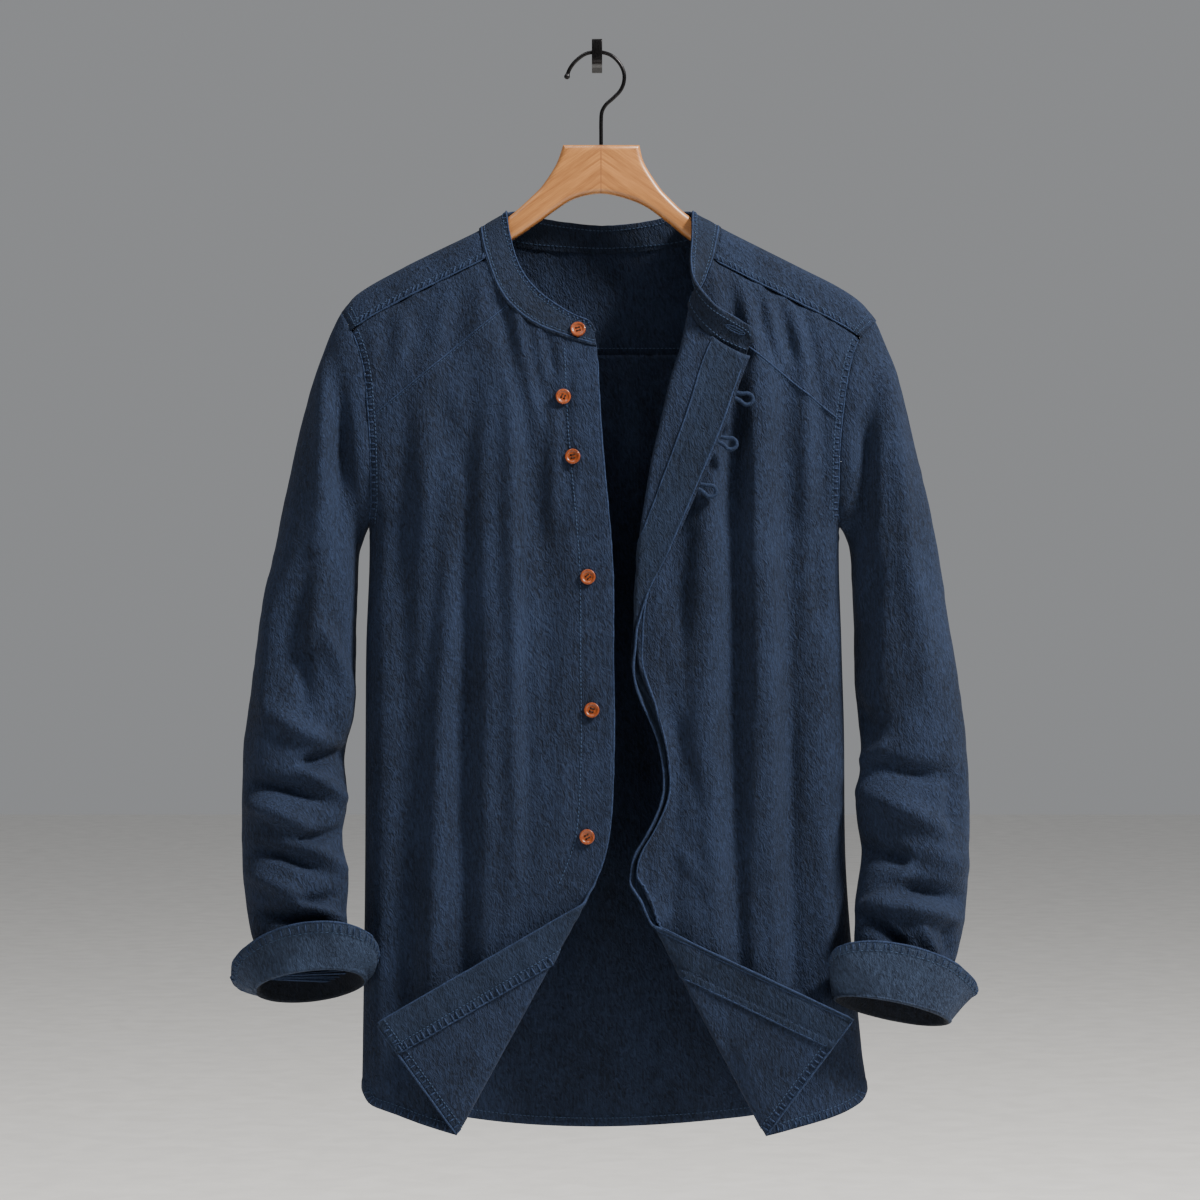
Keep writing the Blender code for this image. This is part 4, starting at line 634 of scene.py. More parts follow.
def settle(obj, nodes):
    """Rides a finished piece on the one body and stands it in for its CAD nodes, if any."""
    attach(obj, "root")
    if nodes:
        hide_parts(*nodes)


def add_object(name, data):
    """A new object, in the scene."""
    obj = bpy.data.objects.new(name, data)
    bpy.context.scene.collection.objects.link(obj)
    return obj


def pick(obj):
    """Makes one object the only one selected, and active."""
    bpy.ops.object.select_all(action="DESELECT")
    obj.select_set(True)
    bpy.context.view_layer.objects.active = obj


def face_outwards(mesh, merge=False):
    """Turns a closed mesh's faces outwards, once its doubled points are merged."""
    bm = bmesh.new()
    bm.from_mesh(mesh)
    if merge:
        bmesh.ops.remove_doubles(bm, verts=bm.verts[:], dist=0.00001)
    bmesh.ops.recalc_face_normals(bm, faces=bm.faces[:])
    bm.to_mesh(mesh)
    bm.free()


def mesh_piece(name, points, faces, uv, finish):
    """An object from points in mm."""
    mesh = bpy.data.meshes.new(name)
    mesh.from_pydata((np.asarray(points) * MM).tolist(), [], [tuple(f) for f in faces])
    mesh.update()
    if uv is not None:
        layer = mesh.uv_layers.new(name="cloth")
        loops = np.empty(len(mesh.loops), dtype=np.int32)
        mesh.loops.foreach_get("vertex_index", loops)
        layer.data.foreach_set("uv", (np.asarray(uv)[loops] * MM).ravel())
    mesh.shade_smooth()
    mesh.materials.append(FINISHES[finish])
    return add_object(name, mesh)


def point_normals(points, faces):
    """Unit normals at the points of a sheet, averaged from its faces."""
    points = np.asarray(points, dtype=float)
    normals = np.zeros_like(points)
    for size in {len(f) for f in faces}:
        group = np.array([f for f in faces if len(f) == size])
        corner = points[group]
        turn = np.zeros((len(group), 3))
        for k in range(1, size - 1):
            turn += np.cross(corner[:, k] - corner[:, 0], corner[:, k + 1] - corner[:, 0])
        for k in range(size):
            np.add.at(normals, group[:, k], turn)
    return normals / np.maximum(np.linalg.norm(normals, axis=1), 1e-12)[:, None]


def cloth(name, points, faces, flat, finish, wall, near_to, outwards=(0, -1, 0), detail=None,
          lining=None, lined=0):
    """A sewn piece: a sheet whose outer side is given, its wall turned inwards. The face nearest
    `near_to` is turned to look `outwards`. `detail` moves each point out along its normal.
    `lining` is the finish of the inner side, or of the outer side's first `lined` faces."""
    points, flat = np.asarray(points, dtype=float), np.asarray(flat, dtype=float)
    faces = [list(f) for f in faces]
    centres = np.array([points[f].mean(axis=0) for f in faces])
    nearest = faces[int(np.argmin(np.linalg.norm(centres - np.array(near_to), axis=1)))]
    a, b, c = points[nearest[:3]]
    if np.dot(np.cross(b - a, c - a), outwards) < 0:
        faces = [f[::-1] for f in faces]
    if detail is not None:
        points = points + point_normals(points, faces) * np.asarray(detail)[:, None]
    normals = point_normals(points, faces)
    obj = mesh_piece(name, points, faces, flat, finish)
    pick(obj)
    shell = obj.modifiers.new("wall", "SOLIDIFY")
    shell.thickness = wall * MM
    shell.offset = -1
    shell.use_even_offset = False
    if lining:
        obj.data.materials.append(FINISHES[lining])
        shell.material_offset = 0 if lined else 1
        for face in obj.data.polygons[:lined]:
            face.material_index = 1
    bpy.ops.object.modifier_apply(modifier=shell.name)
    settle(obj, [name])
    PIECES[name] = Piece(obj, flat, points, normals, wall, faces)


def grid_faces(rows, columns, closed=False):
    """Faces of a grid whose points are numbered along its rows."""
    wide = columns if closed else columns - 1
    return [(i * columns + j, i * columns + (j + 1) % columns,
             (i + 1) * columns + (j + 1) % columns, (i + 1) * columns + j)
            for i in range(rows - 1) for j in range(wide)]


def flat_tree(name):
    """The piece's flat triangles as a search tree, made once."""
    if name not in TREES:
        piece = PIECES[name]
        corners = [(f[0], f[k], f[k + 1]) for f in piece.faces for k in range(1, len(f) - 1)]
        verts = [(u, v, 0.0) for u, v in piece.flat]
        TREES[name] = (BVHTree.FromPolygons(verts, corners), np.array(corners))
    return TREES[name]


def on_piece(names, flat, out=0.0, side=1):
    """Places on the sewn pieces for flat points, and normals: on the outer side for side 1 and
    on the inner side for -1, this far out of the cloth."""
    places, normals = [], []
    for u, v in np.asarray(flat, dtype=float):
        hits = []
        for name in names:
            tree, corners = flat_tree(name)
            place, _, index, away = tree.find_nearest((u, v, 0.0))
            hits.append((away, name, corners[index], place))
        _, name, corner, place = min(hits, key=lambda hit: hit[0])
        piece = PIECES[name]
        a, b, c = piece.flat[corner]
        u, v = place[0], place[1]
        whole = (b[0] - a[0]) * (c[1] - a[1]) - (c[0] - a[0]) * (b[1] - a[1])
        whole = whole if abs(whole) > 1e-9 else 1e-9
        s = ((u - a[0]) * (c[1] - a[1]) - (c[0] - a[0]) * (v - a[1])) / whole
        t = ((b[0] - a[0]) * (v - a[1]) - (u - a[0]) * (b[1] - a[1])) / whole
        share = np.array((1 - s - t, s, t))
        normal = unit(share @ piece.normals[corner])
        lift = out if side > 0 else -piece.wall - out
        places.append(share @ piece.points[corner] + normal * lift)
        normals.append(normal * side)
    return np.array(places), np.array(normals)


# --- fronts -------------------------------------------------------------------------------------
def fold_frame(side):
    """A turned corner's fold: a point on it, its direction, and the way to the flat tip."""
    top, low, tip = (np.array(p, dtype=float) for p in CORNER[side][:3])
    run = unit(low - top)
    across = np.array((run[1], -run[0]))
    if np.dot(tip - top, across) > 0:
        across = -across
    return top - across * (FOLD_RADIUS + FOLD_WALL), run, across


def flat_tip(side):
    """Where a turned corner's tip lies before the corner is turned."""
    start, run, across = fold_frame(side)
    tip = np.array(CORNER[side].tip, dtype=float) - start
    return start + run * np.dot(tip, run) - across * np.dot(tip, across) \
        + across * math.pi * FOLD_RADIUS


def roll(distance):
    """In-plane place and lift of points this far past a fold, and how far past the roll."""
    turn = distance / FOLD_RADIUS
    rolling = turn < math.pi
    beyond = np.where(rolling, 0.0, distance - math.pi * FOLD_RADIUS)
    return (np.where(rolling, FOLD_RADIUS * np.sin(turn), -beyond),
            np.where(rolling, FOLD_RADIUS * (1 - np.cos(turn)), 2 * FOLD_RADIUS), beyond)


def lapel_sink(z):
    """How far the lapel's free edge hangs below its fold."""
    top = LAPEL_TOP[0].z
    return (LAPEL_TOP[-1].z - top) * (1 - soft_step(top, LAPEL_LEVEL_Z, z))


def lapel_reach(z):
    """Flat width of the left front past its lapel fold."""
    z = np.asarray(z, dtype=float)
    free_z = np.maximum(z + lapel_sink(z), LAPEL[-1].z)
    free_x = follow(EDGE_LEFT, "z", "x", free_z) + follow(LAPEL, "z", "width", free_z)
    upper = free_x - follow(EDGE_LEFT, "z", "x", z) + math.pi * FOLD_RADIUS
    lower = (LAPEL[-1].width + math.pi * FOLD_RADIUS) \
        * (1 - soft_step(LAPEL[-1].z, CURL_END_Z, z))
    return np.where(z <= CURL_END_Z, 0.0, np.where(z >= LAPEL[-1].z, upper, lower))


def lapel_points(fold_point, past):
    """Flat points of the lapel, these far past the fold."""
    x, z = fold_point
    top = LAPEL_TOP[0].z
    full = follow(LAPEL_TOP, "d", "z", lapel_reach(z)) - top
    part = follow(LAPEL_TOP, "d", "z", past) - top
    sink = part / full * lapel_sink(z) if full else part * 0
    return np.stack((x - past, z + sink), axis=1)


def place_front(side, x, z, fold_x):
    """Flat points of a front panel, turned at its folds and given their depth."""
    past = fold_x - x
    turned = past > 0
    shift, up, beyond = roll(np.where(turned, past, 0))
    x = np.where(turned, fold_x - shift, x)
    lift = np.where(turned, up + LAPEL_RISE * beyond, 0)
    loose = np.where(turned, np.minimum(beyond / 8, 1.0), 0)
    start, _, across = fold_frame(side)
    past = (x - start[0]) * across[0] + (z - start[1]) * across[1]
    turned = (past > 0) & (z < CORNER_ZONE_Z)
    shift, up, beyond = roll(np.where(turned, past, 0))
    move = np.where(turned, shift - past, 0)
    x, z = x + across[0] * move, z + across[1] * move
    flap = np.where(turned, np.minimum(past / 20, 1.0), 0)
    lift += np.where(turned, up + CORNER[side].rise * beyond, 0) \
        + flap * crease_out(FLAP_CREASES, x, z)
    y = layer_y("front", x, z)
    y += (layer_y("front", x, z, plain=True) - y) * np.maximum(loose, flap)
    return np.stack((x, y - lift, z), axis=1)


def neck_end(side, drop):
    """Where the neckline lies this far under the shoulder ridge."""
    run = spline(NECKS[side])
    return np.interp(drop, ridge_z(run[:, 0]) - run[:, 1], run[:, 0])


def armhole_below(side, drop):
    """The armhole's point that lies this far under the shoulder ridge."""
    z = SHOULDER_Z[side]
    for _ in range(30):
        z = 0.5 * z + 0.5 * (ridge_z(follow(ARMHOLE, "z", side, z)) - drop)
    return np.array((follow(ARMHOLE, "z", side, z), z))


def side_runs(side, top_z, hem_z):
    """The armhole's edge and the side seam under it, flat, for a layer between two heights."""
    runs = []
    for edge, high, low, count in ((ARMHOLE, top_z, UNDERARM_Z, 20),
                                   (TORSO, UNDERARM_Z - 2, hem_z, 60)):
        heights = np.linspace(high, low, count)
        runs.append(np.stack((follow(edge, "z", side, heights), heights), axis=1))
    return runs


def front_runs(side):
    """Flat runs round a front panel, each from its upper or inner end."""
    drop = YOKE_DROP[side]
    neck = spline(NECKS[side])
    neck = neck[neck[:, 1] < ridge_z(neck[:, 0]) - drop][::-1]
    corner = armhole_below(side, drop)
    seam_x = np.linspace(neck_end(side, drop), corner[0], 40)
    seam = np.stack((seam_x, ridge_z(seam_x) - drop), axis=1)
    seam[-1] = corner
    tip = flat_tip(side)
    armhole, side_seam = side_runs(side, corner[1], HEMS[side][-1].z)
    return {"neck": np.vstack((neck, seam[:1])), "yoke": seam,
            "edge": np.vstack((spline(EDGES[side]), [tip])),
            "hem": np.vstack(([tip], spline(HEMS[side]))), "armhole": armhole, "side": side_seam,
            "inside": seam[10]}     # a place that the hem's turned edge lies towards


def yoke_run(side, down=0.0, neck_share=1.0, arm_share=1.0, count=40):
    """The yoke's front seam on its own flat cloth, moved down, between shares of its two ends."""
    drop = YOKE_DROP[side]
    x = np.linspace(neck_end(side, drop) * neck_share, armhole_below(side, drop)[0] * arm_share,
                    count)
    return np.stack((x, ridge_z(x) + drop + down), axis=1)


def side_shares(count, z):
    """Shares across a panel, which crowd towards its side seam under the armhole."""
    even = np.linspace(0, 1, count)
    crowded = even + (1 - (1 - even) ** 2.2 - even) * soft_step(0.72, 1.0, even)
    share = soft_step(UNDERARM_Z + 16, UNDERARM_Z, z)
    return even + (crowded - even) * share


def patch(top, low, inner, outer, shares_at):
    """Rows of flat points between four runs; `shares_at` gives a row's shares at its height."""
    grid = []
    for v, start, end in zip(np.linspace(0, 1, len(inner)), inner, outer):
        s = shares_at(end[1])
        top_at, low_at = in_step(top, s), along(low, s)
        s = s[:, None]
        corners = ((1 - s) * (1 - v) * top[0] + s * (1 - v) * top[-1]
                   + (1 - s) * v * low[0] + s * v * low[-1])
        grid.append((1 - v) * top_at + v * low_at + (1 - s) * start + s * end - corners)
    return np.array(grid)


def front_grid(side):
    """A panel's rows of flat points, from its front edge (or lapel fold) to its side."""
    runs = front_runs(side)
    spans = FRONT_COLUMNS - 1
    neck_spans = round(spans * NECK_SPANS[side] / 14)
    top = np.vstack((along(runs["neck"], np.arange(neck_spans) / neck_spans),
                     along(runs["yoke"], np.linspace(0, 1, spans - neck_spans + 1))))
    t = np.linspace(0, 1, FRONT_ROWS)
    outer = along(np.vstack((runs["armhole"], runs["side"])), t)
    grid = patch(top, runs["hem"], along(runs["edge"], t), outer,
                 lambda z: side_shares(FRONT_COLUMNS, z))
    return grid, runs


def front_flat(side):
    """Flat points of a whole front, its lapel too, with where each row is folded, and faces."""
    grid, runs = front_grid(side)
    rows, columns = grid.shape[:2]
    points = list(grid.reshape(-1, 2))
    turned = (grid[:, 0, 1] > CURL_END_Z) & (side == "left")
    row_fold = np.where(turned, grid[:, 0, 0], NO_FOLD)
    folds = list(np.repeat(row_fold, columns))
    lapel, lines = [], [list(row) for row in grid]
    if side == "left":
        last = int(np.argmin(turned))
        wide = ROLL_STEPS + LAPEL_STEPS
        start = len(points)

        def number(i, k):
            return i * columns if k == 0 or i == last else start + i * wide + k - 1

        for i in range(last):
            reach = float(lapel_reach(grid[i, 0, 1]))
            turn = min(math.pi * FOLD_RADIUS, 0.8 * reach)
            past = np.concatenate((turn * np.arange(1, ROLL_STEPS + 1) / ROLL_STEPS,
                                   turn + (reach - turn) * np.arange(1, LAPEL_STEPS + 1)
                                   / LAPEL_STEPS))
            line = list(lapel_points(grid[i, 0], past))
            points += line
            folds += [row_fold[i]] * wide
            lines[i] = line[::-1] + lines[i]
        for i in range(last):
            for k in range(wide):
                corner = (number(i, k), number(i + 1, k), number(i + 1, k + 1), number(i, k + 1))
                lapel.append(tuple(dict.fromkeys(corner)))
    return (np.array(points), np.array(folds), grid_faces(rows, columns), lapel, lines, row_fold,
            runs)


def flat_mesh(points, folds, faces):
    """A flat mesh in the front view that can be cut; each vertex keeps its row's fold."""
    bm = bmesh.new()
    layer = bm.verts.layers.float.new("fold")
    used = sorted({v for f in faces for v in f})
    verts = {}
    for i in used:
        verts[i] = bm.verts.new((points[i][0], 0, points[i][1]))
        verts[i][layer] = folds[i]
    for face in faces:
        bm.faces.new([verts[i] for i in face])
    return bm


def cut(bm, start, across, faces, keep="both"):
    """Cuts faces of a flat mesh along a line in the front view; `keep` can keep one side only."""
    # in a fixed order, so that each run gives the same mesh
    verts = dict.fromkeys(v for f in faces for v in f.verts)
    edges = dict.fromkeys(e for f in faces for e in f.edges)
    bmesh.ops.bisect_plane(bm, geom=[*verts, *edges, *faces], dist=0.01,
                           plane_co=(start[0], 0, start[1]), plane_no=(across[0], 0, across[1]),
                           clear_inner=keep == "beyond", clear_outer=keep == "before")


def read_flat(bm):
    """Flat points, folds and faces of a flat mesh."""
    layer = bm.verts.layers.float["fold"]
    bm.verts.index_update()
    points = np.array([(v.co.x, v.co.z) for v in bm.verts])
    folds = np.array([v[layer] for v in bm.verts])
    return points, folds, [[v.index for v in f.verts] for f in bm.faces]


def cross_corner(bm, side):
    """Edges across a turned corner's roll, so that it bends round."""
    start, _, across = fold_frame(side)
    for step in range(CORNER_CUTS + 1):
        low = [f for f in bm.faces if min(v.co.z for v in f.verts) < CORNER_ZONE_Z]
        cut(bm, start + across * math.pi * FOLD_RADIUS * step / CORNER_CUTS, across, low)


def yoke_seam(side):
    """The slanting seam of a front: its two ends, and the way up from it."""
    start, end = (np.array(p, dtype=float) for p in FRONT_YOKE_SEAM[side])
    run = unit(end - start)
    return start, end, np.array((-run[1], run[0])) * math.copysign(1, run[0])


def pucker(flat, run, width, deep, pitch, seed, inner=0.0):
    """Short ripples across a seam: strongest beside it, and gone at the given width."""
    away, place_on = near(flat, run)
    wave = noise(place_on / pitch, place_on * 0 + 0.5, seed) \
        + 0.6 * noise(place_on / (pitch * 0.47), away / 30, seed + 5)
    return deep * bell(np.maximum(away - inner, 0), 0, width) * wave


def row_dip(flat, run, off, deep=0.35, width=1.3):
    """The shallow groove that a row of stitches pulls into the cloth."""
    return -deep * bell(near(flat, run)[0], off, width)


def welt(flat, run, wide, high):
    """Cloth that is turned in under an edge stands this much higher up to its stitches."""
    return high * (1 - soft_step(wide - 0.8, wide + 0.8, near(flat, run)[0]))


def flare(flat, from_free):
    """How far the left front's wavy edge is turned forward, with a crease where it starts."""
    heights, widths, slopes = zip(*FLARE)
    wide = np.interp(flat[:, 1], heights, widths)
    return np.interp(flat[:, 1], heights, slopes) * np.maximum(wide - from_free, 0)


def edge_shown(z):
    """1 where the facing shows beside the wavy edge, and 0 above and below."""
    return soft_step(*EDGE_SHOWN_Z, z) * soft_step(*EDGE_HIDDEN_Z, z)


def pull_edge(points, flat, from_free):
    """Draws the wavy edge in, so that the facing shows beside it."""
    points[:, 0] += EDGE_PULLED * edge_shown(flat[:, 1]) * bell(from_free, 0, 15)
    return points


def front_detail(side, flat, runs, lines):
    """Seams, hems and puckers of a front, over its creases."""
    out = np.zeros(len(flat))
    from_free, _ = near(flat, np.array([line[0] for line in lines]))
    if side == "left":      # the wavy edge stands off its facing, and is rolled on the lapel
        out += flare(flat, from_free) - 0.6 * bell(from_free, 0, 1.7)
    hem, edge, armhole, yoke = (runs[name] for name in ("hem", "edge", "armhole", "yoke"))
    out += welt(flat, hem, HEM, 0.55) + row_dip(flat, hem, HEM_ROW) \
        + pucker(flat, hem, 7, 0.45, 9, 21)
    out += pucker(flat, armhole, 7, 0.5, 7, 31) + row_dip(flat, armhole, ARMHOLE_DIP, 0.3)
    out += pucker(flat, yoke, 15, 0.9, 11, 41) - 0.9 * bell(near(flat, yoke)[0], 0, 2.2)
    out += pucker(flat, runs["neck"], 6, 0.4, 6, 47)
    if side == "right":
        out += row_dip(flat, edge, PLACKET_ROW, 0.45, 1.6) \
            + pucker(flat, edge, 10, 0.55, 10, 51, inner=FACING_WIDTH - 8)
        out += 0.35 * (1 - soft_step(FACING_WIDTH - 6, FACING_WIDTH - 3, near(flat, edge)[0]))
    else:
        out += welt(flat, edge, 4, 0.3)
    away, place_on = near(flat, np.array(yoke_seam(side)[:2]))
    out += 0.7 * bell(away, 0, 1.6) \
        + 0.25 * bell(away, 0, 5) * noise(place_on / 7, place_on * 0, 61)
    return out


def make_front(side):
    """A front panel and, over its slanting seam, the front yoke."""
    points, folds, body, lapel, lines, row_fold, runs = front_flat(side)
    start, _, up = yoke_seam(side)
    middle_x = 130 * OUTWARD[side]
    upper = flat_mesh(points, folds, body)
    cut(upper, start, up, upper.faces[:], keep="beyond")
    flat, fold, faces = read_flat(upper)
    upper.free()
    cloth("front_yoke_" + side, place_front(side, flat[:, 0], flat[:, 1], fold), faces, flat,
          "cloth_outer", WALL, (middle_x, -70, -270), detail=front_detail(side, flat, runs, lines))
    lower = flat_mesh(points, folds, body)
    cut(lower, start, up, lower.faces[:], keep="before")
    if lapel:
        turned = flat_mesh(points, folds, lapel)
        spare = bpy.data.meshes.new("spare")
        turned.to_mesh(spare)
        turned.free()
        lower.from_mesh(spare)
        bpy.data.meshes.remove(spare)
        bmesh.ops.remove_doubles(lower, verts=lower.verts[:], dist=0.005)
    cross_corner(lower, side)
    flat, fold, faces = read_flat(lower)
    lower.free()
    points = place_front(side, flat[:, 0], flat[:, 1], fold)
    if side == "left":
        points = pull_edge(points, flat, near(flat, np.array([line[0] for line in lines]))[0])
    cloth("front_" + side, points, faces, flat, "cloth_outer", WALL, (middle_x, -90, -480),
          detail=front_detail(side, flat, runs, lines))
    return lines, row_fold, runs


FACING_RUNS = {}      # each facing's free edge and inner seam, flat


def facing_lip(flat, across):
    """How far a facing stands out at its turned seam, its row of stitches and its free edge."""
    to_seam = FACING_WIDTH - across
    return 0.75 * (1 - soft_step(5.8, 7.4, to_seam)) - 0.4 * bell(to_seam, 7.4, 1.2) \
        + 0.22 * noise(flat[:, 1] / 7, across / 9, 71) \
        + 0.35 * bell(across, 0, 2.2) - 0.3 * bell(across, 4.5, 1.6)


def make_facing(side, lines, row_fold, runs):
    """The strip inside a front edge, which shows on the lapel and the turned corner."""
    columns = FACING_STEPS + 1
    grid = np.empty((len(lines), columns, 2))
    for row, line in zip(grid, lines):
        line = np.array(line)
        back = EDGE_SHOWN * soft_step(CURL_END_Z + 5, CURL_END_Z + 60, line[0, 1]) \
            if side == "left" else 0.0
        row[:, 0] = line[0, 0] + OUTWARD[side] * (back + (FACING_WIDTH - back)
                                                  * np.arange(columns) / FACING_STEPS)
        row[:, 1] = np.interp(OUTWARD[side] * row[:, 0], OUTWARD[side] * line[:, 0], line[:, 1])
    grid[0, :, 1] -= 0.6
    flat = grid.reshape(-1, 2)
    faces = grid_faces(len(lines), columns)
    points = place_front(side, flat[:, 0], flat[:, 1], np.repeat(row_fold, columns))
    detail = front_detail(side, flat, runs, lines)
    if side == "left":
        from_free = near(flat, grid[:, 0])[0]
        detail = detail - flare(flat, from_free)
        points = pull_edge(points, flat, from_free)
    normals = point_normals(points, faces)
    middle = int(np.argmin(np.linalg.norm(points - np.array((0, -90, -500)), axis=1)))
    if normals[middle][1] > 0:
        normals = -normals
    points = points + normals * (detail - (WALL + FACING_GAP))[:, None]
    step = np.tile(np.arange(columns), len(lines))
    if side == "left":
        shown = edge_shown(flat[:, 1])
        points[:, 0] -= PEEK * shown * np.exp(-step / 5.0)
        points[:, 1] += EDGE_GROOVE * shown * bell(step, 2.2, 1.1)
    lip = facing_lip(flat, step * FACING_WIDTH / FACING_STEPS)
    points = points - normals * lip[:, None]
    FACING_RUNS[side] = (grid[:, 0], grid[:, -1])
    cloth("facing_" + side, points, faces, flat, "cloth_inner", FACING_WALL,
          (0, -90, -500) if side == "right" else (-5, -92, -520))


# --- yoke and back ------------------------------------------------------------------------------
def yoke_rows():
    """Rows of the yoke's points: those before the shoulders' ridge, then those behind it."""
    ends = np.linspace(0, 1, YOKE_ENDS)
    middle = 1 / (YOKE_MIDDLE + 1) * np.arange(1, YOKE_MIDDLE + 1)
    middle = middle - 0.6 * np.sin(2 * math.pi * middle) / (2 * math.pi)
    front, back = [], []
    for share in np.linspace(1, 0.02, YOKE_FRONT) ** 1.8:
        arms = {}
        for side in SIDES:
            drop = YOKE_DROP[side] * share
            end_x = armhole_below(side, drop)[0]
            x = end_x + (neck_end(side, drop) - end_x) * ends
            arms[side] = on_layer("front", x, ridge_z(x) - drop)
        front.append(np.vstack((arms["right"], np.zeros((YOKE_MIDDLE, 3)), arms["left"][::-1])))
    neck = along(spline(NECK_BACK, 16), middle)
    low_x = (NECK_POINT["right"].x - NECK_LEAN) * (1 - middle) \
        + (NECK_POINT["left"].x + NECK_LEAN) * middle
    for share in np.linspace(0, 1, YOKE_BACK) ** 1.9:
        arms = {}
        for side in SIDES:
            shoulder_x = armhole_below(side, 0)[0]
            end_z = SHOULDER_Z[side] + (YOKE_BACK_Z - SHOULDER_Z[side]) * share
            end_x = follow(ARMHOLE, "z", side, end_z) if share > 0 else shoulder_x
            neck_x = NECK_POINT[side].x + OUTWARD[side] * NECK_LEAN * min(share / 0.05, 1)
            top = ridge_z(shoulder_x + (NECK_POINT[side].x - shoulder_x) * ends)
            arms[side] = on_layer("back", end_x + (neck_x - end_x) * ends,
                                  top + (YOKE_BACK_Z - top) * share)
        across = on_layer("back", neck[:, 0] + (low_x - neck[:, 0]) * share,
                          neck[:, 1] + (YOKE_BACK_Z - neck[:, 1]) * share)
        back.append(np.vstack((arms["right"], across, arms["left"][::-1])))
    return front, back


def make_yoke():
    """Over both shoulders, from the front yoke seams to the back yoke seam."""
    front, back = yoke_rows()
    grid = np.array(front + back)
    count, columns = grid.shape[:2]
    # before the ridge, the neck between the two shoulders is open
    faces = [face for k, face in enumerate(grid_faces(count, columns))
             if k // (columns - 1) >= len(front)
             or not YOKE_ENDS - 1 <= k % (columns - 1) < YOKE_ENDS + YOKE_MIDDLE]
    points = grid.reshape(-1, 3)
    # the flat cloth is measured over the ridge, so that the front lies beyond the back
    ridge = ridge_z(points[:, 0])
    flat_z = np.where(np.repeat(np.arange(count), columns) < len(front),
                      ridge + (ridge - points[:, 2]), points[:, 2])
    flat = np.stack((points[:, 0], flat_z), axis=1)
    used = sorted({v for f in faces for v in f})
    number = {v: n for n, v in enumerate(used)}
    faces = [tuple(number[v] for v in f) for f in faces]
    points, flat = points[used], flat[used]
    detail = np.zeros(len(points))
    for side in SIDES:
        seam = yoke_run(side)
        detail += welt(flat, seam, YOKE_ROW, 0.45) + row_dip(flat, seam, YOKE_ROW, 0.45, 1.1) \
            + pucker(flat, seam, 7, 0.5, 6, 81)
        drop = YOKE_DROP[side]
        heights = np.linspace(ridge_z(armhole_below(side, drop)[0]) + drop, YOKE_BACK_Z, 30)
        armhole_x = follow(ARMHOLE, "z", side, np.minimum(heights, SHOULDER_Z[side]))
        detail += row_dip(flat, np.stack((armhole_x, heights), axis=1), ARMHOLE_DIP, 0.3)
    seam = np.array(((-260, YOKE_BACK_Z), (260, YOKE_BACK_Z)), dtype=float)
    detail += welt(flat, seam, YOKE_ROW, 0.45) + row_dip(flat, seam, YOKE_ROW, 0.4, 1.1) \
        + pucker(flat, seam, 8, 0.5, 7, 83)
    cloth("yoke", points, faces, flat, "cloth_outer", WALL, (3, 0, -240), (0, 1, 0), detail)


def make_back():
    """The back, from the yoke seam to its hem; gives its hem and its armholes' edges."""
    right, left = (side_runs(side, YOKE_BACK_Z, HEM_BACK[0].z) for side in SIDES)
    hem = spline(HEM_BACK)
    top = np.linspace(right[0][0], left[0][0], 41)
    t = np.linspace(0, 1, BACK_ROWS)

    def shares(z):
        half = side_shares(BACK_HALF, z)
        return np.concatenate((0.5 - half[::-1] / 2, 0.5 + half[1:] / 2))

    grid = patch(top, hem, along(np.vstack(right), t), along(np.vstack(left), t), shares)
    flat = grid.reshape(-1, 2)
    detail = welt(flat, hem, HEM, 0.55) + row_dip(flat, hem, HEM_ROW) \
        + pucker(flat, hem, 7, 0.45, 9, 91) + pucker(flat, top, 14, 0.8, 12, 93)
    for armhole, _ in (right, left):
        detail += pucker(flat, armhole, 7, 0.5, 7, 95) + row_dip(flat, armhole, ARMHOLE_DIP, 0.3)
    cloth("back", on_layer("back", flat[:, 0], flat[:, 1]), grid_faces(*grid.shape[:2]), flat,
          "cloth_outer", WALL, (3, 0, -500), (0, 1, 0), detail)
    return hem, {"right": right[0], "left": left[0]}


# --- sleeves and cuffs --------------------------------------------------------------------------
def armhole_ring(side, count):
    """A ring that follows the armhole: over the front, then up the back."""
    turn = turns(count)
    z = SHOULDER_Z[side] + (UNDERARM_Z - SHOULDER_Z[side]) * (1 - np.cos(turn)) / 2
    x = follow(ARMHOLE, "z", side, z)
    y = np.where(turn <= math.pi, layer_y("front", x, z), layer_y("back", x, z))
    y[0] = y[count // 2] = HANGER_Y
    return np.stack((x, y, z), axis=1)


def ring_points(row, count):
    """A cross-section: from its outer edge over the front to its inner edge and back."""
    outer = np.array((row.outer_x, HANGER_Y + row.outer_y, row.outer_z))
    inner = np.array((row.inner_x, HANGER_Y + row.inner_y, row.inner_z))
    front = np.sin(turns(count))
    dip = row.lift if row.dip is None else row.dip
    ring = (outer + inner) / 2 + np.outer(np.cos(turns(count)), (outer - inner) / 2)
    ring[:, 1] -= row.depth * front
    ring[:, 2] += np.where(front > 0, row.lift, dip) * front
    return ring


def rings_at(lines, at):
    """Rings of a tube whose lines run along it, at places counted in points of those lines."""
    i = np.minimum(at.astype(int), lines.shape[1] - 2)
    part = (at - i)[None, :, None]
    return np.swapaxes(lines[:, i] * (1 - part) + lines[:, i + 1] * part, 0, 1)


def tube_lines(rings, per_span):
    """Smooth lines along a tube, through its rings."""
    return np.array([spline([ring[i] for ring in rings], per_span) for i in range(len(rings[0]))])


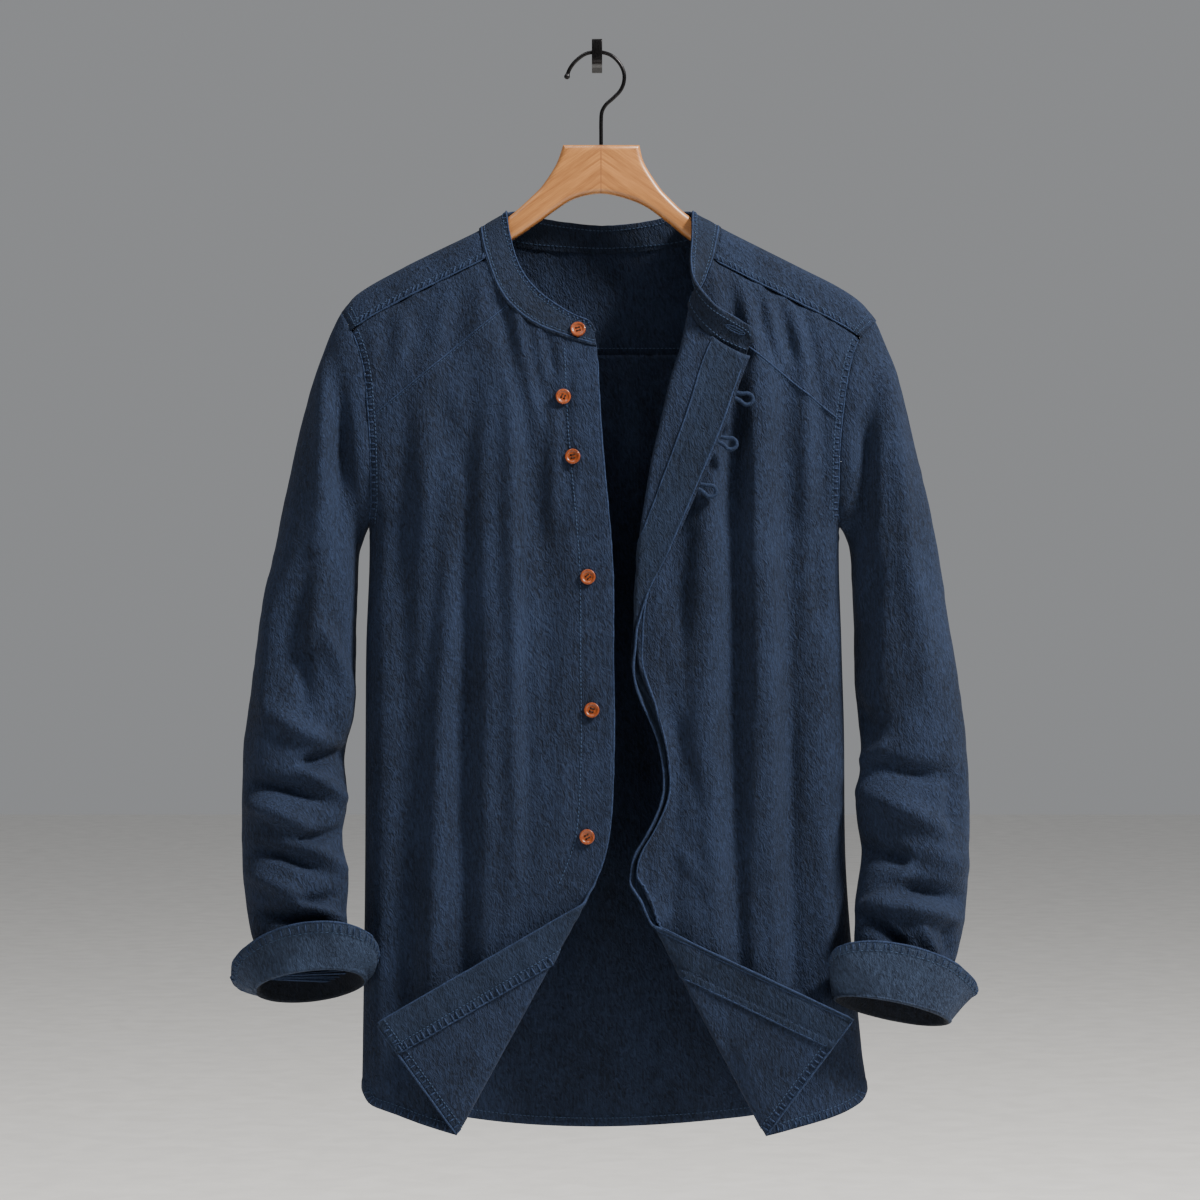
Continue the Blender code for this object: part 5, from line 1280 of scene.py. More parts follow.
def ways_out(grid, level=False):
    """Directions from a tube's middle line to its points; `level` keeps them level."""
    way = grid - grid.mean(axis=1, keepdims=True)
    if level:
        way[:, :, 2] = 0
    return way / np.linalg.norm(way, axis=2)[:, :, None]


def tube_flat(grid):
    """Flat points of a tube: along it, and round it from its inner seam."""
    around = np.linalg.norm(np.diff(np.concatenate((grid, grid[:, :1]), axis=1), axis=1), axis=2)
    down = lengths(grid.mean(axis=1))
    start = np.cumsum(around, axis=1) - around
    return np.stack((start, np.repeat(-down[:, None], grid.shape[1], axis=1)), axis=2)


def make_sleeve(side):
    """A sleeve from its armhole to its end, with the folds that the turned cuff pushes up."""
    lines = tube_lines([armhole_ring(side, SLEEVE_ROUND)]
                       + [ring_points(row, SLEEVE_ROUND) for row in SLEEVE[side]], 8)
    reach = lengths(lines.mean(axis=0))
    even = reach[-1] * np.arange(SLEEVE_RINGS) / (SLEEVE_RINGS - 1)
    rings = rings_at(lines, np.interp(even, reach, np.arange(len(reach))))
    turn = turns(SLEEVE_ROUND)[None, :]
    share = np.arange(SLEEVE_RINGS)[:, None] / (SLEEVE_RINGS - 1)
    inner_side, front = np.maximum(-np.cos(turn), 0), np.sin(turn)
    x, z = rings[:, :, 0], rings[:, :, 2]
    fade = soft_step(0.0, 0.06, share) * (1 - soft_step(0.965, 1.0, share))
    shape = crease_out(SLEEVE_CREASES[side], x, z) * soft_step(-0.1, 0.35, front) \
        + crease_out(SLEEVE_BACK_CREASES[side], x, z) * soft_step(-0.1, 0.35, -front)
    shape = SLEEVE_CREASES_OUT * shape
    ripple = 0.8 * noise(x / 16, z / 40, 11) + 0.35 * noise(x / 7, z / 9 + front, 12)
    around = turn / (2 * math.pi)
    gathers = 1.1 * noise(around * 26, share * 3, 13) * soft_step(0.09, 0.0, share)
    deep = (shape * (1 - 0.45 * inner_side) + ripple) * fade + gathers * soft_step(0, .012, share)
    grid = rings + ways_out(rings) * deep[:, :, None]
    cloth("sleeve_" + side, grid.reshape(-1, 3),
          grid_faces(SLEEVE_RINGS, SLEEVE_ROUND, closed=True), tube_flat(rings).reshape(-1, 2),
          "cloth_outer", WALL, (-250 if side == "right" else 260, -200, -520),
          lining="cloth_within")


def widened(row, grow, rise):
    """A cross-section made wider all round, and lifted."""
    way = 1 if row.outer_x > row.inner_x else -1
    return row._replace(outer_x=row.outer_x + way * grow, outer_z=row.outer_z + rise,
                        inner_x=row.inner_x - way * grow, inner_z=row.inner_z + rise,
                        depth=row.depth + grow)


def make_cuff(side):
    """A turned-back cuff: down inside the sleeve's mouth, round the fold and up to the rim.
    Gives how far down its own cloth each of its rings is."""
    end, fold, half, rim = CUFF[side]
    mouth = ring_points(end, CUFF_ROUND)
    middle = mouth.mean(axis=0)
    # it starts a little way up inside the sleeve
    rings = [middle + (mouth - middle) * 0.93 + np.array((0, 0, 7)),
             middle + (mouth - middle) * 0.965]
    for turn in range(-90, 91, 15):
        grow = CUFF_FOLD * math.sin(math.radians(turn))
        rise = CUFF_FOLD - CUFF_FOLD * math.cos(math.radians(turn))
        rings.append(ring_points(widened(fold, grow, rise), CUFF_ROUND))
    rings += [ring_points(row, CUFF_ROUND) for row in (half, rim)]
    lines = tube_lines(rings, 5)
    steps = np.linalg.norm(np.diff(lines, axis=1), axis=2).mean(axis=0)
    reach = np.concatenate(([0], np.cumsum(steps)))
    down = np.linspace(0, reach[-1], CUFF_RINGS)
    grid = rings_at(lines, np.interp(down, reach, np.arange(len(reach))))
    around = turns(CUFF_ROUND)[None, :] / (2 * math.pi)
    along_it = down[:, None]
    share = along_it / down[-1]
    from_rim = (down[-1] - down)[:, None]
    seed = 15 if side == "right" else 17
    shape = 0.8 * noise(around * 13, along_it / 30, seed) \
        + 0.5 * noise(around * 31, along_it / 12, seed + 1)
    gathers = 1.3 * noise(around * 34, along_it / 22, seed + 2) * soft_step(0.30, 0.05, share)
    rim_welt = 0.5 * (1 - soft_step(5.0, 6.4, from_rim)) - 0.45 * bell(from_rim, CUFF_ROW, 1.2) \
        + 0.45 * noise(around * 40, from_rim / 20, seed + 3) * bell(from_rim, 0, 7)
    within = int(np.argmin(grid[:, :, 2].mean(axis=1)))      # rings up inside the sleeve
    deep = (shape * soft_step(0.1, 0.4, share) + gathers) * soft_step(0, 4, along_it) + rim_welt
    grid = grid + ways_out(grid, level=True) * deep[:, :, None]
    flat_x = 2 * math.pi * CUFF_RADIUS * np.arange(CUFF_ROUND) / CUFF_ROUND
    flat = np.stack((np.tile(flat_x, CUFF_RINGS), np.repeat(-down, CUFF_ROUND)), axis=1)
    cloth("cuff_" + side, grid.reshape(-1, 3), grid_faces(CUFF_RINGS, CUFF_ROUND, closed=True),
          flat, "cloth_turned", WALL, (-242 if side == "right" else 254, -200, -750),
          lining="cloth_within", lined=within * CUFF_ROUND)
    return down


# --- collar -------------------------------------------------------------------------------------
def seam_point(row):
    """Where the collar's seam lies on the neckline."""
    if row.layer == "ridge":
        return np.array((row.x, HANGER_Y, row.z))
    layer = "back" if row.layer == "back" else "front"
    y = float(layer_y(layer, np.array([row.x]), np.array([row.z]))[0])
    lift = {"turned": 2 * FOLD_RADIUS + 2, "roll": FOLD_RADIUS}.get(row.layer, 0)
    return np.array((row.x, y - lift, row.z))


def make_collar():
    """A standing band whose left end is turned out with the lapel. Gives how far along and how
    tall it is at each step."""
    seam = np.array([seam_point(row) for row in COLLAR])
    top = np.array([(row.top_x, point[1] + row.back, row.top_z)
                    for row, point in zip(COLLAR, seam)])
    even = np.linspace(0, 1, COLLAR_STEPS + 1)
    shares = even - 0.8 * np.sin(2 * math.pi * even) / (2 * math.pi)
    low, high = in_step(spline(seam, 12), shares), in_step(spline(top, 12), shares)
    tall = np.linalg.norm(high - low, axis=1)
    up_way = (high - low) / tall[:, None]
    low = low - up_way * COLLAR_OVER
    reach = lengths((low + high) / 2)
    for radius, from_end in zip(COLLAR_CORNERS, (reach, reach[-1] - reach)):
        near_end = np.minimum(from_end / radius, 1.0)
        cut_off = radius * (1 - np.sqrt(1 - (1 - near_end) ** 2))
        high = high - up_way * cut_off[:, None]
    rise = np.linspace(0, 1, COLLAR_RISE + 1)[:, None]
    grid = low[None] * (1 - rise[:, None]) + high[None] * rise[:, None]
    tall = np.linalg.norm(high - low, axis=1)
    flat = np.stack((np.tile(reach, COLLAR_RISE + 1), (rise * tall[None]).ravel()), axis=1)
    x, up = flat.T
    down = np.tile(tall, COLLAR_RISE + 1) - up
    detail = 0.30 * bell(down, 0, 2.2) - 0.42 * bell(down, COLLAR_TOP_ROW, 1.1) + 0.45 \
        - 0.42 * bell(up, COLLAR_LOW_ROW + COLLAR_OVER, 1.1) \
        + 0.30 * noise(x / 6.5, up / 9, 101) + 0.25 * noise(x / 2.6, up / 6, 102)
    # the collar's finish is drawn darker than the body's cloth, as painted shade
    cloth("collar", grid.reshape(-1, 3), grid_faces(COLLAR_RISE + 1, COLLAR_STEPS + 1), flat,
          "cloth_pressed_painted_shade", COLLAR_WALL, (-70, -90, -205), (-0.5, -1, 0), detail)
    return reach, tall


# --- sewing -------------------------------------------------------------------------------------
def stitch_shape():
    """One stitch along X, 1 mm long and thick: a short bar whose ends dive into the cloth."""
    bpy.ops.object.select_all(action="DESELECT")
    bpy.ops.mesh.primitive_cylinder_add(vertices=6, radius=0.5, depth=0.62, end_fill_type="NGON",
                                        rotation=(0, math.radians(90), 0))
    bar = bpy.context.active_object
    bpy.ops.object.transform_apply(location=False, rotation=True, scale=True)
    for way in (-1, 1):
        bpy.ops.object.mode_set(mode="EDIT")
        bm = bmesh.from_edit_mesh(bar.data)
        for face in bm.faces:
            face.select_set(face.normal.x * way > 0.9)
        bmesh.update_edit_mesh(bar.data)
        bpy.ops.mesh.extrude_region_move(TRANSFORM_OT_translate={"value": (0.19 * way, 0, -0.4)})
        bpy.ops.transform.resize(value=(1, 0.55, 0.55))
        bpy.ops.object.mode_set(mode="OBJECT")
    mesh = bar.data
    verts = np.array([v.co[:] for v in mesh.vertices])
    faces = [tuple(p.vertices) for p in mesh.polygons]
    bpy.data.objects.remove(bar)
    bpy.data.meshes.remove(mesh)
    return verts, faces


def stitches(name, runs, names, side=1, long=STITCH_LONG, gap=STITCH_GAP, thick=STITCH_THICK,
             finish="thread"):
    """Rows of stitches along flat runs, laid on the sewn pieces, as one object."""
    shape, shape_faces = STITCH
    points, faces = [], []
    for run in runs:
        count = max(int(lengths(run)[-1] / (long + gap)), 1)
        start = np.arange(count) * (long + gap) + gap / 2
        (heads, _), (middle, normals), (tails, _) = (
            on_piece(names, at_lengths(run, start + part), STITCH_LIFT, side)
            for part in (0, long / 2, long))
        for head, tail, centre, normal in zip(heads, tails, middle, normals):
            size = np.linalg.norm(tail - head)
            if size < 0.3 * long or size > 1.8 * long:
                continue
            x = (tail - head) / size
            y = unit(np.cross(normal, x))
            z = np.cross(x, y)
            first = len(points)
            points += list(centre + np.outer(shape[:, 0] * size, x)
                           + np.outer(shape[:, 1] * thick, y) + np.outer(shape[:, 2] * thick, z))
            faces += [tuple(first + v for v in f) for f in shape_faces]
    settle(mesh_piece(name, points, faces, None, finish), ())


def sew_fronts(fronts):
    """The rows of stitches on the fronts, the facings and the yoke before the ridge."""
    for side in SIDES:
        runs, pieces, inward = fronts[side], FRONT_PIECES[side], -OUTWARD[side]
        stitches("stitch_yoke_" + side, [yoke_run(side, -YOKE_ROW, 1.01)], ["yoke"])
        drops = np.linspace(2, YOKE_DROP[side] - 1, 12)
        ends = np.array([armhole_below(side, drop) for drop in drops]) + (inward * 5.6, 0)
        ends[:, 1] = 2 * ridge_z(ends[:, 0]) - ends[:, 1]
        stitches("stitch_shoulder_" + side, [ends, ends + (inward * 2.2, 0)], ["yoke"])
        armhole = inset_run(runs["armhole"], BODY_MIDDLE, ARMHOLE_ROW)
        stitches("stitch_armhole_" + side, [armhole], pieces)
        hem = inset_run(runs["hem"], runs["inside"], HEM_ROW)
        stitches("stitch_hem_" + side, [hem], pieces)
        start, end, up = yoke_seam(side)
        slant = np.array([start - up * SLANT_ROW, end - up * SLANT_ROW])
        stitches("stitch_slant_" + side, [slant], pieces, thick=0.5)
    edge, side_seam = fronts["right"]["edge"], fronts["right"]["side"]
    placket = inset_run(edge[:-1], side_seam[10], PLACKET_ROW)
    stitches("stitch_placket", [placket], FRONT_PIECES["right"])
    for side in SIDES:
        free, seam = FACING_RUNS[side]
        row = seam + (free - seam) * FACING_ROW / FACING_WIDTH
        stitches("stitch_facing_" + side, [on_corner(side, row)], ["facing_" + side], side=-1)
        runs = fronts[side]
        hem = inset_run(runs["hem"][:2], runs["inside"], HEM_ROW)
        stitches("stitch_corner_" + side, [hem], CORNER_PIECES[side], side=-1)


def on_corner(side, run):
    """The part of a facing's run that lies on the turned corner, so that it shows."""
    start, _, across = fold_frame(side)
    return run[(run - start) @ across > FOLD_RADIUS]


def inset_run(run, towards, off):
    """A run moved sideways, to the side on which a place lies."""
    middle = len(run) // 2
    return min((offset(run, off), offset(run, -off)),
               key=lambda moved: np.linalg.norm(moved[middle] - towards))


def collar_row(collar, up=None, down=None, ends=(0, 0)):
    """A flat run along the collar, this far up from its lower edge or down from its top."""
    reach, tall = collar
    height = np.full_like(reach, up) if down is None else tall - down
    return np.stack((reach, height), axis=1)[ends[0]:len(reach) - ends[1]]


def cuff_row(down, off):
    """A flat run round a cuff, this far from its rim."""
    around = np.linspace(0.5, 2 * math.pi * CUFF_RADIUS * (1 - 1.5 / CUFF_ROUND), 200)
    return np.stack((around, np.full_like(around, -(down[-1] - off))), axis=1)


def sew_rest(back_hem, back_armholes, collar, cuffs):
    """Stitches of the back, the yoke behind, the collar and the cuffs."""
    yoke = [np.array([(x, YOKE_BACK_Z + YOKE_ROW) for x in np.linspace(-205, 214, 60)])]
    hem = [inset_run(back_hem, np.array((0, -500)), HEM_ROW)]
    for name, runs, piece in (("yoke_back", yoke, "yoke"), ("hem_back", hem, "back")):
        stitches("stitch_" + name, runs, [piece])
        stitches("stitch_" + name + "_inside", runs, [piece], side=-1)
    for side in SIDES:
        run = inset_run(back_armholes[side], BODY_MIDDLE, ARMHOLE_ROW)
        stitches("stitch_armhole_back_" + side, [run], ["back"])
    bands = [collar_row(collar, up=COLLAR_LOW_ROW + COLLAR_OVER, ends=(3, 3)),
             collar_row(collar, down=COLLAR_TOP_ROW, ends=(6, 7))]
    stitches("stitch_collar", bands, ["collar"])
    stitches("stitch_collar_inside", bands, ["collar"], side=-1)
    for side in SIDES:
        stitches("stitch_cuff_" + side, [cuff_row(cuffs[side], CUFF_ROW)], ["cuff_" + side])


def edging(name, run, names, radius, side=1, out=0.0):
    """The raised roll of cloth along a seam or edge, laid on the sewn pieces."""
    at = at_lengths(run, np.arange(0, lengths(run)[-1], EDGE_EVERY))
    places, normals = on_piece(names, at, out, side)
    steps = np.arange(len(places))
    swell = (1 + 0.22 * noise(steps / 3.1, steps * 0.0, 401)) \
        * np.clip(np.minimum(steps, steps[::-1]) / 3, 0.15, 1)
    roll = cord_mesh(name, places - normals * radius * 0.25, radius, 8, "cloth_edge", swell)
    settle(roll, ())


def tucks(name, run, towards, names, reach, side=1, start=0.5):
    """Short puckers across a seam's allowance, between its edge and its row of stitches."""
    total = lengths(run)[-1]
    count = int(total / TUCK_EVERY)
    at = (np.arange(count) + 0.5) * TUCK_EVERY
    at = at + 1.7 * noise(at / 5.0, np.full(count, total / 9), 511)
    spots, ahead = at_lengths(run, at), at_lengths(run, at + 0.5)
    ways = [(after - spot) / max(np.linalg.norm(after - spot), 1e-6)
            for spot, after in zip(spots, ahead)]
    across = [np.array((-way[1], way[0])) for way in ways]
    middle = count // 2
    if np.dot(across[middle], np.asarray(towards, dtype=float) - spots[middle]) < 0:
        across = [-way for way in across]
    runs = [np.array([spot + way * start, spot + way * reach])
            for spot, way in zip(spots, across)]
    stitches(name, runs, names, side, long=reach - start - 0.5, gap=0.3, thick=1.5,
             finish="cloth_edge")


def tuck_seams(fronts, collar, cuffs):
    """Puckers along the seams whose allowance is stitched down, and the cuffs' rolled rims."""
    for side in SIDES:
        runs, pieces = fronts[side], FRONT_PIECES[side]
        seam = yoke_run(side, 0.0, 1.02, 0.98, 60)
        tucks("tucks_yoke_" + side, seam, seam[30] + (0, -40), ["yoke"], 5.0)
        tucks("tucks_armhole_" + side, runs["armhole"], BODY_MIDDLE, pieces, 5.0)
        tucks("tucks_hem_" + side, runs["hem"], runs["inside"], pieces, HEM - 1.0)
        free, inner = FACING_RUNS[side]
        turned = on_corner(side, inner)
        beside = np.argmin(np.linalg.norm(free - turned[len(turned) // 2], axis=1))
        tucks("tucks_facing_" + side, turned, free[beside], ["facing_" + side], 7.0, side=-1)
        tucks("tucks_corner_" + side, runs["hem"][:2], runs["inside"], CORNER_PIECES[side],
              HEM - 1.0, side=-1)
        cuff = ["cuff_" + side]
        edging("edge_" + cuff[0], cuff_row(cuffs[side], 0.2)[3:-3], cuff, 0.9, out=-WALL / 2)
        tucks("tucks_" + cuff[0], cuff_row(cuffs[side], 0.3), (150, 0), cuff, 5.4)
    top = collar_row(collar, down=0.6, ends=(4, 5))
    tucks("tucks_collar", top, (collar[0][COLLAR_STEPS // 2], 0), ["collar"], 3.6)


def edge_seams(fronts, collar):
    """Raised rolls on the seams that stand out from the cloth."""
    for side in SIDES:
        pieces, facing = FRONT_PIECES[side], ["facing_" + side]
        edging("edge_yoke_" + side, yoke_run(side, 0.7, 1.02, 0.99, 60), ["yoke"], 0.85)
        armhole = inset_run(fronts[side]["armhole"], BODY_MIDDLE, 0.3)
        edging("edge_armhole_" + side, armhole, pieces, 0.75)
        start, end, _ = yoke_seam(side)
        edging("edge_slant_" + side, np.array([start, end]), pieces,
               0.6 if side == "right" else 0.8)
        free, inner = FACING_RUNS[side]
        turned_seam = inner + (free - inner) * 0.02
        shown = [on_corner(side, turned_seam)]
        if side == "left":      # on the lapel, too
            shown.append(turned_seam[turned_seam[:, 1] > EDGE_SHOWN_Z[0]])
        for k, part in enumerate(shown):
            edging("edge_facing_%s_%d" % (side, k), part, facing, 0.8, side=-1)
        edging("edge_front_" + side, free[3:], ["front_" + side], 0.95, out=-WALL / 2)
        # a hem's first stretch is the one on the turned corner
        edging("edge_corner_" + side, fronts[side]["hem"][:2], ["front_" + side], 0.9,
               out=-WALL / 2)
    free, inner = FACING_RUNS["left"]
    shown = free[(free[:, 1] < EDGE_SHOWN_Z[0]) & (free[:, 1] > EDGE_HIDDEN_Z[0])]
    edging("edge_facing_free", shown, ["facing_left"], 1.0, side=-1, out=-WALL / 2)
    beside = free + (inner - free) * EDGE_DOUBLED / FACING_WIDTH
    start, _, across = fold_frame("left")
    edging("edge_facing_corner", beside[(beside - start) @ across > -8], ["facing_left"], 0.8,
           side=-1)
    edging("edge_collar_seam", collar_row(collar, up=0.8 + COLLAR_OVER, ends=(2, 2)), ["collar"],
           0.8)
    edging("edge_collar_top", collar_row(collar, down=0.5, ends=(4, 5)), ["collar"], 0.8)


# --- buttons and loops --------------------------------------------------------------------------
def button_shape():
    """A turned wooden button: a raised rim, a dished middle and four drilled holes."""
    bpy.ops.object.select_all(action="DESELECT")
    bpy.ops.mesh.primitive_cylinder_add(vertices=40, radius=BUTTON_RADIUS * MM,
                                        depth=BUTTON_THICK * MM,
                                        location=(0, 0, BUTTON_THICK / 2 * MM))
    button = bpy.context.active_object
    bpy.ops.object.transform_apply(location=True, rotation=False, scale=False)
    bpy.ops.object.mode_set(mode="EDIT")
    bm = bmesh.from_edit_mesh(button.data)
    for face in bm.faces:
        face.select_set(face.normal.z > 0.9)
    bmesh.update_edit_mesh(button.data)
    for inset, move in ((0.5, 0.12), (1.2, -0.12), (0.7, -0.75)):
        bpy.ops.mesh.inset(thickness=inset * MM, depth=0)
        bpy.ops.transform.translate(value=(0, 0, move * MM))
    bpy.ops.object.mode_set(mode="OBJECT")
    edge = button.modifiers.new("turned_edge", "BEVEL")
    edge.width, edge.segments, edge.limit_method = 0.45 * MM, 3, "ANGLE"
    edge.angle_limit = math.radians(35)
    bpy.ops.object.modifier_apply(modifier=edge.name)
    for x, y in ((-1, -1), (-1, 1), (1, -1), (1, 1)):
        bpy.ops.object.select_all(action="DESELECT")
        bpy.ops.mesh.primitive_cylinder_add(vertices=16, radius=0.85 * MM, depth=6 * MM,
                                            location=(HOLE_AWAY * x * MM, HOLE_AWAY * y * MM, 0))
        drill = bpy.context.active_object
        bpy.context.view_layer.objects.active = button
        hole = button.modifiers.new("drilled", "BOOLEAN")
        hole.operation, hole.object, hole.solver = "DIFFERENCE", drill, "EXACT"
        bpy.ops.object.modifier_apply(modifier=hole.name)
        drilled = drill.data
        bpy.data.objects.remove(drill)
        bpy.data.meshes.remove(drilled)
    return button


def front_hit(names, x, z):
    """Where a line from the front first meets one of the pieces, and the way out of it."""
    best = None
    for name in names:
        found, place, normal, _ = PIECES[name].obj.ray_cast(Vector((x, -300, z)) * MM,
                                                            Vector((0, 1, 0)))
        if found and (best is None or place.y < best[0].y):
            best = (place, normal)
    return best


def make_buttons():
    """The buttons, each turned a little on its thread, and the thread across their holes."""
    shape = button_shape()
    pick(shape)
    bpy.ops.object.shade_smooth_by_angle(angle=math.radians(35))
    points, faces = [], []
    stitch, stitch_faces = STITCH
    for number, (spot, turn) in enumerate(zip(BUTTONS, BUTTON_TURNS), 1):
        where, normal = front_hit(["collar"] if number == 1 else ["front_right"], *spot)
        frame_at = Matrix.Translation(where + normal * 0.35 * MM) \
            @ normal.to_track_quat("Z", "Y").to_matrix().to_4x4() @ Matrix.Rotation(turn, 4, "Z")
        name = "button_%d" % number
        mesh = shape.data.copy()
        mesh.name = name
        mesh.transform(frame_at)
        mesh.materials.clear()
        mesh.materials.append(FINISHES["button_wood"])
        settle(add_object(name + "_wood", mesh), [name])
        for across in (-HOLE_AWAY, HOLE_AWAY):    # two bars of thread across the holes
            bar = [frame_at @ (Vector((v[0] * 4.2, v[1] * 0.9 + across, v[2] * 1.5 + 1.75)) * MM)
                   for v in stitch]
            first = len(points)
            points += [np.array(p) / MM for p in bar]
            faces += [tuple(first + v for v in f) for f in stitch_faces]
    thread = mesh_piece("button_thread", points, faces, None, "button_thread")
    settle(thread, ())
    bpy.data.objects.remove(shape)


def cord_mesh(name, points, radius, sides, finish, swell):
    """A round cord or wire along points, its radius times `swell` at each, with closed ends."""
    points = np.asarray(points, dtype=float)
    step = np.gradient(points, axis=0)
    step /= np.linalg.norm(step, axis=1)[:, None]
    across = np.cross(step[0], (0.31, 0.92, 0.17))
    turn = turns(sides)
    rings = []
    for point, way, size in zip(points, step, radius * swell):
        across = unit(across - way * np.dot(across, way))
        up = np.cross(way, across)
        rings.append(point + size * (np.outer(np.cos(turn), across) + np.outer(np.sin(turn), up)))
    faces = grid_faces(len(rings), sides, closed=True)
    faces.append(tuple(range(sides))[::-1])
    faces.append(tuple(range((len(rings) - 1) * sides, len(rings) * sides)))
    obj = mesh_piece(name, np.vstack(rings), faces, None, finish)
    face_outwards(obj.data)
    obj.data.shade_smooth()
    return obj


def lapel_edge(z):
    """A point on the lapel's free edge at a height, the way down it, and the way out of it."""
    fold_z = z
    for _ in range(20):
        fold_z = z - float(lapel_sink(fold_z))
    places = []
    for height in (fold_z + 3, fold_z, fold_z - 3):
        fold_x = float(follow(EDGE_LEFT, "z", "x", height))
        flat = lapel_points((fold_x, height), np.array([float(lapel_reach(height))]))
        places.append(place_front("left", flat[:, 0], flat[:, 1], np.array([fold_x]))[0])
    down = places[2] - places[0]
    down[1] = 0
    down /= np.linalg.norm(down)
    return places[1], down, np.array((-down[2], 0, down[0]))


def make_buttonhole():
    """A worked buttonhole in the collar's turned end: close stitches round a slit."""
    centre, way = np.array(BUTTONHOLE_AT), unit(np.array(BUTTONHOLE_WAY))
    across = np.array((-way[1], way[0]))
    spots = [centre + way * BUTTONHOLE_LONG / 2 * math.cos(t) + across * 2.0 * math.sin(t)
             for t in np.linspace(0, 2 * math.pi, 49)]
    slit = [centre + way * BUTTONHOLE_LONG * 0.4 * share for share in np.linspace(-1, 1, 15)]
    for name, places, radius, finish, out in (
            ("buttonhole_stitches", spots, 0.62, "cloth_edge", 0.1),
            ("buttonhole_slit", slit, 0.75, "thread", -0.45)):
        hits = [front_hit(["collar"], *spot) for spot in places]
        points = np.array([np.array(hit[0]) / MM + np.array(hit[1]) * out for hit in hits])
        swell = 1 + 0.12 * np.cos(math.pi * np.arange(len(points)))
        settle(cord_mesh(name, points, radius, 8, finish, swell), ())


def make_loops():
    """Three loops of navy cord, sewn under the lapel's free edge."""
    outline = spline(LOOP_OUTLINE, 7)
    twist = 1 + 0.06 * np.sin(np.arange(len(outline)) * 2.1)
    for number, z in enumerate(LOOP_HEIGHTS, 1):
        point, down, out = lapel_edge(z)
        middle = point + np.array((0, 0.4, 0))
        points = np.array([middle + out * (a - 1.0) - down * b for a, b in outline])
        loop = cord_mesh("loop_%d_cord" % number, points, LOOP_CORD / 2, 12, "cord", twist)
        settle(loop, ["loop_%d" % number])


# --- hanger and hooks ---------------------------------------------------------------------------
def hanger_outline():
    """The wood's outline: its shaped middle, and two arms that follow the shoulders."""
    arms = {side: [(x, float(ridge_z(x)) - HANGER_CLEAR) for x in HANGER_ARM_X[side]]
            for side in SIDES}
    top = arms["right"][::-1] + list(HANGER_MIDDLE_TOP) + arms["left"]
    low = {}
    for side in SIDES:
        x, z = arms[side][-1]
        low[side] = [(x + OUTWARD[side] * 5, z - 9), (x + OUTWARD[side] * 3, z - 15)] \
            + [(px, pz - HANGER_ARM_HEIGHT) for px, pz in arms[side][::-1]]
    return top, low["left"] + list(HANGER_MIDDLE_LOW) + low["right"][::-1]


def board(name, outline, half_thick, round_edge, turned, finish, node_name):
    """A flat body cut to an outline, with rounded edges, and turned out of the XY plane."""
    data = bpy.data.curves.new(name, "CURVE")
    data.dimensions = "2D"
    data.fill_mode = "BOTH"
    data.extrude = (half_thick - round_edge) * MM
    data.bevel_depth = round_edge * MM
    data.offset = -round_edge * MM
    data.bevel_resolution = 4
    run = data.splines.new("POLY")
    run.points.add(len(outline) - 1)
    for target, (x, z) in zip(run.points, outline):
        target.co = (x * MM, z * MM, 0, 1)
    run.use_cyclic_u = True
    pick(add_object(name, data))
    bpy.ops.object.convert(target="MESH")
    obj = bpy.context.active_object
    obj.name = name
    obj.data.transform(turned)
    face_outwards(obj.data, merge=True)
    obj.data.materials.append(FINISHES[finish])
    bpy.ops.object.shade_smooth_by_angle(angle=math.radians(40))
    settle(obj, [node_name])


def make_hanger():
    """The wooden hanger, one board."""
    top, under = hanger_outline()
    # the wood's upper edge is straight between two sharp corners
    corner = top.index(HANGER_MIDDLE_TOP[4])
    outline = np.vstack((spline(top[:corner + 1], 4), spline(top[corner + 1:], 4)[:-1],
                         spline(under, 4)[:-1]))
    upright = Matrix.Translation((0, HANGER_Y * MM, 0)) @ Matrix.Rotation(math.radians(90), 4, "X")
    board("hanger_wood", outline, HANGER_THICK / 2, HANGER_ROUND, upright, "beech", "hanger")


def make_hanger_hook():
    """The hanger's wire, with a ball formed at its tip."""
    path = spline(HOOK_PATH, 12)
    points = np.stack((path[:, 0], np.full(len(path), HANGER_Y), path[:, 1]), axis=1)
    reach = lengths(path)
    ball = 1 + 0.55 * bell(reach, 2.2, 1.7) - 0.45 * bell(reach, 0, 0.5)
    hook = cord_mesh("hanger_hook_wire", points, HOOK_WIRE / 2, 20, "gunmetal", ball)
    settle(hook, ["hanger_hook"])


def make_wall_hook():
    """A flat strap: back plate, arm under the wire, and an upright nose in front of it."""
    nose_y = HANGER_Y - HOOK_WIRE / 2 - 1.2
    plate = [(0, -12), (0, 12), (-3, 12), (-3, -2.3)]
    nose = [(0, -2.3), (0, 9.3), (-0.5, 10.4), (-1.6, 10.8), (-2.8, 10.4), (-3.4, 9.3),
            (-3.4, -6.5), (-2.8, -8.4), (-1.4, -9.6), (0.2, -10.5), (2.2, -10.8), (4, -10.4),
            (5.5, -9.4)]
    under = [(-9, -8.6), (-3.6, -12)]
    outline = plate + [(nose_y + y, z) for y, z in nose] + under
    # the outline's x becomes Y and its z stays Z; the strap's width is along X
    sideways = Matrix(((0, 0, 1, 0), (1, 0, 0, 0), (0, 1, 0, 0), (0, 0, 0, 1)))
    board("wall_hook_strap", outline, 4.35, 0.45, sideways, "gunmetal", "wall_hook")


